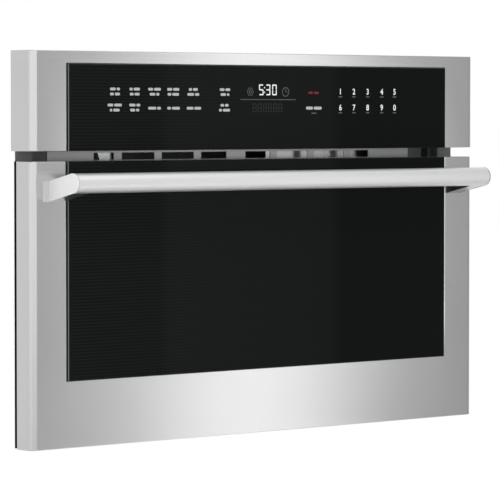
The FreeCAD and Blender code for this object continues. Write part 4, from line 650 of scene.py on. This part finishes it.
class OVEN_OT_handle(bpy.types.Operator):
    """Turns the handle bar and shapes its two slanted posts"""

    bl_idname = "oven.handle"
    bl_label = "Handle"

    def execute(self, context):
        radius = sizes().handle_radius
        low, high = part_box("handle_bar")
        low.x -= sizes().bar_past
        high.x += sizes().bar_past
        axis = Vector((0, (low.y + high.y) / 2, (low.z + high.z) / 2))
        inner = radius - sizes().handle_wall
        seam = sizes().seam
        start, stop = low.x + seam, high.x - seam
        round_off = sizes().handle_arris
        bm = bmesh.new()
        outline = ((start, inner), (start, radius - round_off), (start + round_off, radius),
                   (stop - round_off, radius), (stop, radius - round_off), (stop, inner))
        turn_outline(bm, [axis + Vector((x, 0, r)) for x, r in outline], axis, (1, 0, 0), 72)
        add_piece(bm, "handle_tube", "door", ["handle_steel"], ["handle_bar"])
        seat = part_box("handle_posts")[1].y
        bm = bmesh.new()
        for out, end in ((-1, low.x), (1, high.x)):
            outer = end + out * sizes().cap_thick
            self.end_cap(bm, axis, radius, seat, outer, end, out)
            self.stem(bm, axis, radius - sizes().stem_inset, seat, end, outer - out * sizes().post_wide)
        self.finish_faces(bm, seat)
        add_piece(bm, "handle_post_pair", "door", POST_FINISHES, ["handle_posts"])
        return {"FINISHED"}

    def finish_faces(self, bm, seat):
        """Gives the feet a finish with painted reflection, and the undersides and the inner sides of the
        posts a darker copy of the post metal as painted shade.
        """
        bmesh.ops.recalc_face_normals(bm, faces=bm.faces)
        for face in bm.faces:
            middle = face.calc_center_median()
            inner_side = abs(face.normal.x) > FACING and face.normal.x * middle.x < 0
            # Faces under a post and on its inner side take the darker finish as painted shade
            if face.normal.z < -FACING or inner_side:
                face.material_index = SHADED_FACES
            # The front faces of the foot flare take the painted reflection
            elif face.normal.y < -SLANTED and middle.y > seat - sizes().flare_deep:
                face.material_index = FOOT

    def side_outline(self, bm, axis, nose, seat, x):
        """Side of a post: a round nose about the bar and a slanted stem down to the door."""
        radius = sizes().handle_radius
        slant = Vector((0, math.cos(sizes().post_angle), -math.sin(sizes().post_angle)))
        ring = bmesh.ops.create_circle(bm, cap_ends=True, segments=64, radius=radius)["verts"]
        bmesh.ops.rotate(bm, verts=ring, cent=(0, 0, 0), matrix=Matrix.Rotation(math.radians(90), 3, "Y"))
        bmesh.ops.rotate(bm, verts=ring, cent=(0, 0, 0), matrix=Matrix.Rotation(-sizes().post_angle, 3, "X"))
        for vert in ring:
            along = vert.co.dot(slant)
            if along > -NEAR:
                vert.co += slant * ((seat - axis.y - vert.co.y) / slant.y)
            else:
                vert.co *= nose / radius
        bmesh.ops.translate(bm, vec=(x, axis.y, axis.z), verts=ring)
        return ring

    def thicken(self, bm, ring, distance):
        """Extrudes a side outline across the post."""
        return ring + grow(bm, ring[0].link_faces[0], (distance, 0, 0))

    def end_cap(self, bm, axis, radius, seat, outer, end, out):
        """The outer cheek of a post, which flares out at its foot."""
        verts = set(self.thicken(bm, self.side_outline(bm, axis, radius, seat, outer), end - outer))
        rims = []
        for edge in bm.edges:
            if set(edge.verts) <= verts and all(abs(v.co.x - outer) < WELD for v in edge.verts):
                if min(v.co.y for v in edge.verts) < seat - NEAR:
                    rims.append(edge)
        ease(bm, rims, sizes().cap_arris, 3)
        near = [v for v in bm.verts if abs(v.co.x) > abs(end) - NEAR and v.co.x * out > 0]
        faces = {f for v in near for f in v.link_faces}
        edges = {e for v in near for e in v.link_edges}
        bmesh.ops.bisect_plane(bm, geom=near + list(edges) + list(faces), dist=CUT,
                               plane_co=(0, seat - sizes().flare_deep, 0), plane_no=(0, 1, 0))
        for vert in bm.verts:
            if vert.co.y > seat - sizes().cap_arris and abs(vert.co.x - outer) < sizes().cap_arris:
                vert.co.x += out * sizes().flare_out

    def stem(self, bm, axis, nose, seat, start, stop):
        """The rest of a post, whose nose hides inside the bar."""
        verts = set(self.thicken(bm, self.side_outline(bm, axis, nose, seat, start), stop - start))
        for face in bm.faces:
            if set(face.verts) <= verts and all(v.co.y < axis.y + nose / 2 for v in face.verts):
                face.material_index = NOSE


# Key marks

# Lit bars of the digits in use
SEGMENTS = {"0": "abcdef", "3": "abgcd", "5": "afgcd", "8": "abcdefg"}
# Rounded end of a mark as a share of its width, and the gap between segments as a share of theirs
END_SHARE, GAP_SHARE = 0.42, 0.3
# Height, weight and width of printed numbers as shares of the font's
FONT_TALL, FONT_WEIGHT, FONT_WIDE = 0.7, 0.03, 0.92

# Marks on the control glass, in millimetres. Labels: a height, then for each key its place across and the
# bars of its upper and lower line
LABEL_ROWS = (
    (422.25, ((-250.5, (9, 5), (6, 8)), (-219, (5, 10), (6, 8)), (-187, (8, 11), (9, 5)),
              (-156.5, (8, 10), (6, 11)), (-123.5, (5, 8), (11, 7)), (-70.7, (8, 8), (9, 4)))),
    (402.5, ((-251, (9, 12), (4, 10)), (-219, (10, 6), (8, 5)), (-187, (13, 6), ()), (-156, (6, 13), ()),
             (-122.6, (11, 11), ()), (-71.5, (6, 6), (5, 12)))),
)
# A label's bar height, the rise of its two lines, the drop of a single line and the space between bars
LABEL_TALL, LABEL_RISE, LABEL_DROP, BAR_SPACE = 3.4, 3.1, 0.7, 1.6
# Single marks: place across, height, bars and bar height
START_MARK = (82.4, 402.2, (12, 14), 3.8)
STOP_MARK = (81.8, 422, (8, 9), 3.2)
# Number keys, and the drop and the size of the faint bar below each
NUMBER_PLACES = (129.5, 153.8, 178.6, 204.3, 227.8)
NUMBER_ROWS = (("12345", 423.4), ("67890", 402.6))
UNDER_DROP, UNDER_SIZE = 6.4, (6.5, 1.3)
# Faint bars: place across, height and size. Faint rings: place across, radius, line width and sides
FAINT_BARS = ((82.4, 395.6, 9, 1.3), (3, 413, 95.5, 0.8), (32.9, 425, 0.8, 4), (34.3, 423, 3.2, 0.8))
FAINT_RINGS = ((-27.8, 5.6, 0.9, 6), (32.9, 6.0, 0.9, 36), (-27.8, 2.3, 0.8, 24))
RING_HEIGHT = 423
# Lit digits and their place across, foot and size, the colon's dots, and the row of unlit digits
CLOCK_DIGITS, CLOCK_FOOT, CLOCK_SIZE = (("5", -13.0), ("3", -1.3), ("0", 9.7)), 418.5, (7.8, 13.9, 1.6)
COLON_DOTS = ((-3.4, 422.4, 1.8, 1.8), (-3.4, 428.2, 1.8, 1.8))
SPARE_PLACES, SPARE_FOOT, SPARE_SIZE = [-24 + 8.9 * k for k in range(6)], 397, (6.6, 11, 1.1)


def dash(bm, centre, wide, tall, front, deep):
    """A flat mark with rounded ends on the front of the glass."""
    x, z = centre
    verts = box_in(bm, (x - wide / 2, front - deep, z - tall / 2), (x + wide / 2, front + deep, z + tall / 2))
    ease(bm, edges_along(bm, 1, verts), min(wide, tall) * END_SHARE, 3)


def hoop(bm, centre, radius, line, front, deep, segments):
    """A flat ring on the front of the glass."""
    x, z = centre
    profile = ((radius - line, deep), (radius, deep), (radius, -deep), (radius - line, -deep))
    turn_outline(bm, [(x + r, front + y, z) for r, y in profile], (x, 0, z), (0, 1, 0), segments)


def seven_segment(bm, digit, corner, wide, tall, line, front, deep):
    """One digit of seven rounded bars, from its lower left corner."""
    x, z = corner
    left, middle, right = x + line / 2, x + wide / 2, x + wide - line / 2
    level, upright = (wide - line, line), (line, tall / 2 - line * GAP_SHARE)
    bars = {
        "a": ((middle, z + tall - line / 2), *level),
        "g": ((middle, z + tall / 2), *level),
        "d": ((middle, z + line / 2), *level),
        "f": ((left, z + tall * 3 / 4), *upright),
        "b": ((right, z + tall * 3 / 4), *upright),
        "e": ((left, z + tall / 4), *upright),
        "c": ((right, z + tall / 4), *upright),
    }
    for letter in SEGMENTS[digit]:
        dash(bm, *bars[letter], front, deep)


def number_mesh(bm, text, centre, tall, front, deep):
    """A plain printed number, centred on the glass."""
    curve = bpy.data.curves.new("number", "FONT")
    curve.body = text
    curve.size = tall / FONT_TALL
    curve.extrude = deep
    curve.offset = tall * FONT_WEIGHT
    curve.align_x = "CENTER"
    curve.align_y = "CENTER"
    holder = add_object("number", curve)
    bpy.context.view_layer.update()
    mesh = bpy.data.meshes.new_from_object(holder)
    bpy.data.objects.remove(holder)
    bpy.data.curves.remove(curve)
    turn = Matrix.Rotation(math.radians(90), 4, "X")
    thin = Matrix.Diagonal((FONT_WIDE, 1.0, 1.0, 1.0))
    mesh.transform(Matrix.Translation((centre[0], front, centre[1])) @ turn @ thin)
    bm.from_mesh(mesh)
    bpy.data.meshes.remove(mesh)


class OVEN_OT_key_marks(bpy.types.Operator):
    """Prints the key marks and lights the display on the control glass"""

    bl_idname = "oven.key_marks"
    bl_label = "Key marks"

    def execute(self, context):
        self.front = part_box("control_glass")[0].y
        self.deep = sizes().mark_relief
        self.labels()
        self.numbers()
        self.display()
        return {"FINISHED"}

    def bar(self, bm, x, z, wide, tall):
        """A mark placed in millimetres."""
        dash(bm, (x * MM, z * MM), wide * MM, tall * MM, self.front, self.deep)

    def line_of_marks(self, bm, x, z, words, tall):
        """One line of a label, as bars with a small space between them."""
        at = x - (sum(words) + BAR_SPACE * (len(words) - 1)) / 2
        for word in words:
            self.bar(bm, at + word / 2, z, word, tall)
            at += word + BAR_SPACE

    def digit(self, bm, digit, x, z, size):
        """A digit of bars placed in millimetres."""
        wide, tall, line = (value * MM for value in size)
        seven_segment(bm, digit, (x * MM, z * MM), wide, tall, line, self.front, self.deep)

    def labels(self):
        """The function keys, as plain bars."""
        bm = bmesh.new()
        for z, row in LABEL_ROWS:
            for x, upper, lower in row:
                if lower:
                    self.line_of_marks(bm, x, z + LABEL_RISE, upper, LABEL_TALL)
                    self.line_of_marks(bm, x, z - LABEL_RISE, lower, LABEL_TALL)
                else:
                    self.line_of_marks(bm, x, z - LABEL_DROP, upper, LABEL_TALL)
        self.line_of_marks(bm, *START_MARK)
        add_piece(bm, "function_key_marks", "chassis", ["key_print"])
        bm = bmesh.new()
        self.line_of_marks(bm, *STOP_MARK)
        add_piece(bm, "stop_key_mark", "chassis", ["red_print"])

    def numbers(self):
        """The number keys and the faint bars and rings."""
        numbers, faint = bmesh.new(), bmesh.new()
        for digits, z in NUMBER_ROWS:
            for digit, x in zip(digits, NUMBER_PLACES):
                number_mesh(numbers, digit, (x * MM, z * MM), sizes().digit_height, self.front, self.deep)
                self.bar(faint, x, z - UNDER_DROP, *UNDER_SIZE)
        add_piece(numbers, "number_key_marks", "chassis", ["number_print"])
        for mark in FAINT_BARS:
            self.bar(faint, *mark)
        for x, radius, line, sides in FAINT_RINGS:
            hoop(faint, (x * MM, RING_HEIGHT * MM), radius * MM, line * MM, self.front, self.deep, sides)
        add_piece(faint, "faint_key_marks", "chassis", ["dim_print"])

    def display(self):
        """Lit clock digits over a row of unlit segments."""
        bm = bmesh.new()
        for digit, x in CLOCK_DIGITS:
            self.digit(bm, digit, x, CLOCK_FOOT, CLOCK_SIZE)
        for dot in COLON_DOTS:
            self.bar(bm, *dot)
        add_piece(bm, "lit_clock_digits", "chassis", ["lit_digits"])
        bm = bmesh.new()
        for x in SPARE_PLACES:
            self.digit(bm, "8", x, SPARE_FOOT, SPARE_SIZE)
        add_piece(bm, "unlit_segments", "chassis", ["faint_digits"])


# Oven and case

# Sheets, in millimetres. Bright sheets: left and right ends, place behind the duct's front, and how far
# the upper left corner reaches past the lower one
AIR_BAFFLES = ((-223.0, -195.0, 1.9, 9.0), (64.9, 246.0, 12.6, 0.0))
# Pressed beads: their sheet, the axis that the sheet faces, which way, and two corners each
BEAD_HALF = 8
SIDE_BEADS = [((0, 70, z - BEAD_HALF), (0, 460, z + BEAD_HALF)) for z in (120, 215, 310)]
SHEET_BEADS = (
    ("left_side_panel", 0, -1, SIDE_BEADS),
    ("right_side_panel", 0, 1, SIDE_BEADS),
    ("top_cover", 2, 1, [((x - BEAD_HALF, 90, 0), (x + BEAD_HALF, 440, 0))
                         for x in (-230, -115, 0, 115, 230)]),
    ("rear_panel", 1, 1, [((-210, 0, z - BEAD_HALF), (310, 0, z + BEAD_HALF)) for z in (110, 180, 250)]),
)
# Screws: their sheet, the axis that the sheet faces, which way, and their places
SIDE_SCREWS = [(0, y, 14) for y in (40, 190, 340, 490)]
SHEET_SCREWS = (
    ("left_side_panel", 0, -1, SIDE_SCREWS),
    ("right_side_panel", 0, 1, SIDE_SCREWS),
    ("top_cover", 2, 1, [(x, 512, 0) for x in (-330, -110, 110, 330)]),
)
# Rounded ends of a bead as a share of its width, its fold as a share of its rise, and the angle of a fold
BEAD_END, BEAD_FOLD, FOLD_ANGLE = 0.48, 0.6, 1.2
# Foot and lip of a screw's recess, end of its flat and its shoulder, as shares of its radius
SCREW_SHARES = (0.3, 0.36, 0.6, 0.9)
SHOULDER_RISE = 0.6


class OVEN_OT_case(bpy.types.Operator):
    """Finishes the case, the vent and the controls, and adds the trim of the sheets"""

    bl_idname = "oven.case"
    bl_label = "Case"

    def execute(self, context):
        dress("mounting_flange", "base_plate", "right_side_panel", "left_side_panel", "top_cover",
              "rear_panel", "rear_screws", "cord_gland", "front_frame", "vent_strip", "exhaust_duct",
              "component_deck", "control_bezel", "control_glass", "control_carrier", "control_board",
              "display_module")
        self.air_baffles()
        self.pressed_beads()
        self.sheet_screws()
        self.gap_shade_edging()
        return {"FINISHED"}

    def pressed_beads(self):
        """Long pressed beads that stiffen the side, top and rear sheets."""
        rise = sizes().bead_rise
        bm = bmesh.new()
        for node, across, outward, runs in SHEET_BEADS:
            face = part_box(node)[1 if outward > 0 else 0][across]
            for start, stop in runs:
                low, high = Vector(start) * MM, Vector(stop) * MM
                low[across], high[across] = sorted((face - outward * rise / 4, face + outward * rise))
                verts = box_in(bm, low, high)
                wide = min((high - low)[axis] for axis in range(3) if axis != across)
                ease(bm, edges_along(bm, across, verts), wide * BEAD_END, 8)
        rims = [e for e in bm.edges if len(e.link_faces) == 2 and e.calc_face_angle() > FOLD_ANGLE]
        ease(bm, rims, rise * BEAD_FOLD, 3)
        add_piece(bm, "case_beads", "chassis", ["zinc_coated_steel"])

    def sheet_screws(self):
        """Round-headed screws low on the side sheets and along the rear of the top sheet."""
        radius, rise, slot = sizes().screw_radius, sizes().screw_rise, sizes().screw_slot
        foot, lip, flat, shoulder = (radius * share for share in SCREW_SHARES)
        rim = ((0, rise - slot), (foot, rise - slot), (lip, rise), (flat, rise),
               (shoulder, rise * SHOULDER_RISE), (radius, 0))
        side = Vector((0, 1, 0))
        bm = bmesh.new()
        for node, across, outward, places in SHEET_SCREWS:
            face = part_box(node)[1 if outward > 0 else 0][across]
            axis = Vector([outward if k == across else 0 for k in range(3)])
            for place in places:
                centre = Vector(place) * MM
                centre[across] = face
                points = [centre + side * out + axis * up for out, up in rim]
                turn_outline(bm, points, centre, axis, 20, closed=False)
        add_piece(bm, "sheet_screw_heads", "chassis", ["plain_steel"])

    def gap_shade_edging(self):
        """Thin black edging round the flange's sides, standing in as painted shade for the gap beside the
        door's sides.
        """
        low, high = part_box("mounting_flange")
        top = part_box("door_skin")[1].z
        wide, wall = sizes().edging_wide, sizes().edging_wall
        front, bottom = low.y - sizes().edging_lip, low.z - wall
        bm = bmesh.new()
        for side, edge in ((-1, low.x), (1, high.x)):
            outer, inner = edge + side * wall, edge - side * wide
            outline = ((outer, front), (inner, front), (inner, low.y),
                       (edge, low.y), (edge, high.y), (outer, high.y))
            face = bm.faces.new([bm.verts.new((x, y, bottom)) for x, y in outline])
            grow(bm, face, (0, 0, top - bottom))
        add_piece(bm, "gap_shade_edging", "chassis", ["gap_shade_black"])

    def air_baffles(self):
        """Bright deflector sheets that stand in the duct behind the vent slots."""
        low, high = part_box("exhaust_duct")
        lip = sizes().baffle_lip
        bm = bmesh.new()
        for start, stop, back, reach in AIR_BAFFLES:
            front = low.y + back * MM
            verts = box_in(bm, (start * MM, front - 2 * lip, low.z + 4 * lip),
                           (stop * MM, front - lip, high.z - 4 * lip))
            for vert in verts:
                if vert.co.x < (start + stop) / 2 * MM and vert.co.z > (low.z + high.z) / 2:
                    vert.co.x -= reach * MM
            ease(bm, edges_along(bm, 1, verts), 2 * lip, 2)
        add_piece(bm, "air_baffle_sheets", "chassis", ["baffle_sheet"])


class OVEN_OT_cavity(bpy.types.Operator):
    """Finishes the cavity, its turntable and the fittings of the front frame"""

    bl_idname = "oven.cavity"
    bl_label = "Cavity and turntable"

    def execute(self, context):
        dress("cavity_liner", "cavity_back", "waveguide_cover", "oven_lamp", "broil_element",
              "turntable_motor", "turntable_coupler", "turntable_glass", "roller_ring", "roller_1",
              "roller_2", "roller_3", "interlock_plungers", "interlock_switches", "latch_boards",
              "hinge_arms")
        return {"FINISHED"}


class OVEN_OT_works(bpy.types.Operator):
    """Finishes the microwave, convection and cooling works"""

    bl_idname = "oven.works"
    bl_label = "Works"

    def execute(self, context):
        dress("convection_housing", "convection_heater", "convection_motor", "convection_fan", "waveguide",
              "magnetron", "power_transformer", "capacitor", "blower_housing", "blower_motor", "blower_wheel")
        return {"FINISHED"}


class OVEN_OT_door_inside(bpy.types.Operator):
    """Finishes the inside of the door, its hinges and its latch"""

    bl_idname = "oven.door_inside"
    bl_label = "Door inside"

    def execute(self, context):
        dress("door_skin", "door_glass", "glass_backing", "door_frame", "choke_frame", "choke_cover",
              "inner_glass", "hinge_channels", "hinge_pins", "hinge_springs", "handle_bar", "handle_posts",
              "handle_screws", "latch_bearings", "latch_bar")
        dress("window_screen", finish="punched_screen")
        return {"FINISHED"}


# Stage

STAGE_GREY = (0.8, 0.8, 0.8, 1.0)
# Lamps: name, place, width, height and power, in metres and watts, and the point that they all face
LAMPS = (
    ("strip_lamp", (1.0, -1.2, 0.17), 0.3, 2.4, 3.5),
    ("front_lamp", (-1.1, -6.0, 0.9), 9.0, 3.0, 72.0),
    ("left_lamp", (-5.5, -1.9, 0.9), 5.2, 4.5, 46.5),
    ("corner_lamp", (-4.97, -2.99, 0.9), 2.5, 3.0, 5.4),
    ("top_lamp", (0.2, -1.3, 2.6), 3.0, 2.0, 30.0),
    ("low_lamp", (0.0, -1.3, -0.8), 3.0, 0.8, 4.5),
)
LAMP_AIM = Vector((0, 0, 0.2))


def clear_from_behind(tree, front):
    """Makes a stage surface see-through from its back."""
    gap = add_node(tree, "BsdfTransparent").outputs["BSDF"]
    behind = add_node(tree, "NewGeometry").outputs["Backfacing"]
    return add_node(tree, "MixShader", {"Fac": behind, 1: front, 2: gap}).outputs["Shader"]


def stage_tone(name):
    """A pale stage surface that the camera, metal and glass see as white."""
    finish = bpy.data.materials.new(name)
    finish.use_nodes = True
    tree = finish.node_tree
    tree.nodes.clear()
    matt = add_node(tree, "BsdfDiffuse", {"Color": STAGE_GREY}).outputs["BSDF"]
    white = add_node(tree, "Emission").outputs["Emission"]
    path = add_node(tree, "LightPath").outputs
    seen = maths(tree, "MAXIMUM", path["Is Camera Ray"], path["Is Glossy Ray"])
    seen = maths(tree, "MAXIMUM", seen, path["Is Transmission Ray"])
    front = add_node(tree, "MixShader", {"Fac": seen, 1: matt, 2: white}).outputs["Shader"]
    add_node(tree, "OutputMaterial", {"Surface": clear_from_behind(tree, front)})
    return finish


def stage_object(name, bm, finish):
    """A stage mesh, which isn't part of the oven."""
    mesh = mesh_from(bm, name)
    mesh.materials.append(finish)
    thing = add_object(name, mesh)


def softbox(name, place, wide, tall, power):
    """A soft rectangular lamp."""
    lamp = bpy.data.lights.new(name, "AREA")
    lamp.shape = "RECTANGLE"
    lamp.size = wide
    lamp.size_y = tall
    lamp.energy = power
    holder = add_object(name, lamp)
    holder.location = place
    holder.rotation_euler = (LAMP_AIM - Vector(place)).to_track_quat("-Z", "Y").to_euler()
    holder.visible_camera = False


class OVEN_OT_stage(bpy.types.Operator):
    """Sets the floor, the cabinet face, the lamps and the camera"""

    bl_idname = "oven.stage"
    bl_label = "Stage"

    def execute(self, context):
        scene = context.scene
        scene.view_settings.view_transform = "Standard"
        self.cabinet_face()
        self.floor()
        self.room(scene)
        for lamp in LAMPS:
            softbox(*lamp)
        self.camera(scene)
        return {"FINISHED"}

    def cabinet_face(self):
        """An upright face behind the flange, open where the case goes through."""
        low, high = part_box("top_cover")
        reach, slack, behind = 12.0, 3 * MM, 0.2 * MM
        left, right, bottom, top = low.x - slack, high.x + slack, -slack, high.z + slack
        bm = bmesh.new()
        bmesh.ops.create_grid(bm, x_segments=1, y_segments=1, size=reach)
        bmesh.ops.rotate(bm, verts=bm.verts, cent=(0, 0, 0), matrix=Matrix.Rotation(math.radians(90), 3, "X"))
        cut_window(bm, left, right, bottom, top)
        drop_faces(bm, (left, -1, bottom), (right, 1, top))
        bmesh.ops.translate(bm, vec=(0, behind, 0), verts=bm.verts)
        stage_object("cabinet_face", bm, stage_tone("White cabinet face"))

    def floor(self):
        """A plain pale floor well below the oven."""
        reach, drop = 15.0, 0.9
        finish = bpy.data.materials.new("Pale floor")
        finish.use_nodes = True
        tree = finish.node_tree
        shader = tree.nodes["Principled BSDF"]
        feed(tree, shader, {"Base Color": STAGE_GREY, "Roughness": 0.9, "Specular IOR Level": 0.0})
        front = clear_from_behind(tree, shader.outputs["BSDF"])
        link(tree, front, tree.nodes["Material Output"].inputs["Surface"])
        bm = bmesh.new()
        bmesh.ops.create_grid(bm, x_segments=1, y_segments=1, size=reach)
        bmesh.ops.translate(bm, vec=(0, 0, -drop), verts=bm.verts)
        stage_object("floor", bm, finish)

    def room(self, scene):
        """Soft even light from all round."""
        world = bpy.data.worlds.new("Studio")
        scene.world = world
        world.use_nodes = True
        tree = world.node_tree
        feed(tree, tree.nodes["Background"], {"Color": (1.0, 1.0, 1.0, 1.0), "Strength": 0.5})

    def camera(self, scene):
        """The photograph's viewing angle."""
        lens = bpy.data.cameras.new("photo_camera")
        lens.lens = 239.9
        lens.shift_x = -0.0012
        lens.shift_y = 0.0012
        lens.sensor_width = 36.0
        lens.clip_end = 100.0
        view = add_object("photo_camera", lens)
        view.location = (-2.8503, -3.2246, 0.3948)
        tilt, turn = 2.351, 41.573
        view.rotation_euler = (math.radians(90 - tilt), 0, math.radians(-turn))
        scene.camera = view


class OVEN_PT_sidebar(bpy.types.Panel):
    """Lists the pieces of the oven"""

    bl_idname = "OVEN_PT_sidebar"
    bl_label = "Built-in oven"
    bl_space_type = "VIEW_3D"
    bl_region_type = "UI"
    bl_category = "Oven"

    def draw(self, context):
        for operator in OPERATORS:
            self.layout.operator(operator.bl_idname)


OPERATORS = (
    OVEN_OT_case, OVEN_OT_cavity, OVEN_OT_works, OVEN_OT_door_inside, OVEN_OT_steel_fronts,
    OVEN_OT_front_panes, OVEN_OT_handle, OVEN_OT_key_marks, OVEN_OT_stage,
)
CLASSES = (OvenSizes, OvenColours, *OPERATORS, OVEN_PT_sidebar)


def register():
    """Adds the classes and their settings."""
    for cls in CLASSES:
        bpy.utils.register_class(cls)
    bpy.types.Scene.oven_sizes = PointerProperty(type=OvenSizes)
    bpy.types.Scene.oven_colours = PointerProperty(type=OvenColours)


def unregister():
    """Takes the classes and their settings away."""
    del bpy.types.Scene.oven_colours
    del bpy.types.Scene.oven_sizes
    for cls in reversed(CLASSES):
        bpy.utils.unregister_class(cls)


def main():
    """Builds the looks."""
    register()
    shared_effects()
    shared_finishes()
    bpy.ops.oven.case()
    bpy.ops.oven.cavity()
    bpy.ops.oven.works()
    bpy.ops.oven.door_inside()
    bpy.ops.oven.steel_fronts()
    bpy.ops.oven.front_panes()
    bpy.ops.oven.handle()
    bpy.ops.oven.key_marks()
    bpy.ops.oven.stage()


if __name__ == "__main__":
    main()
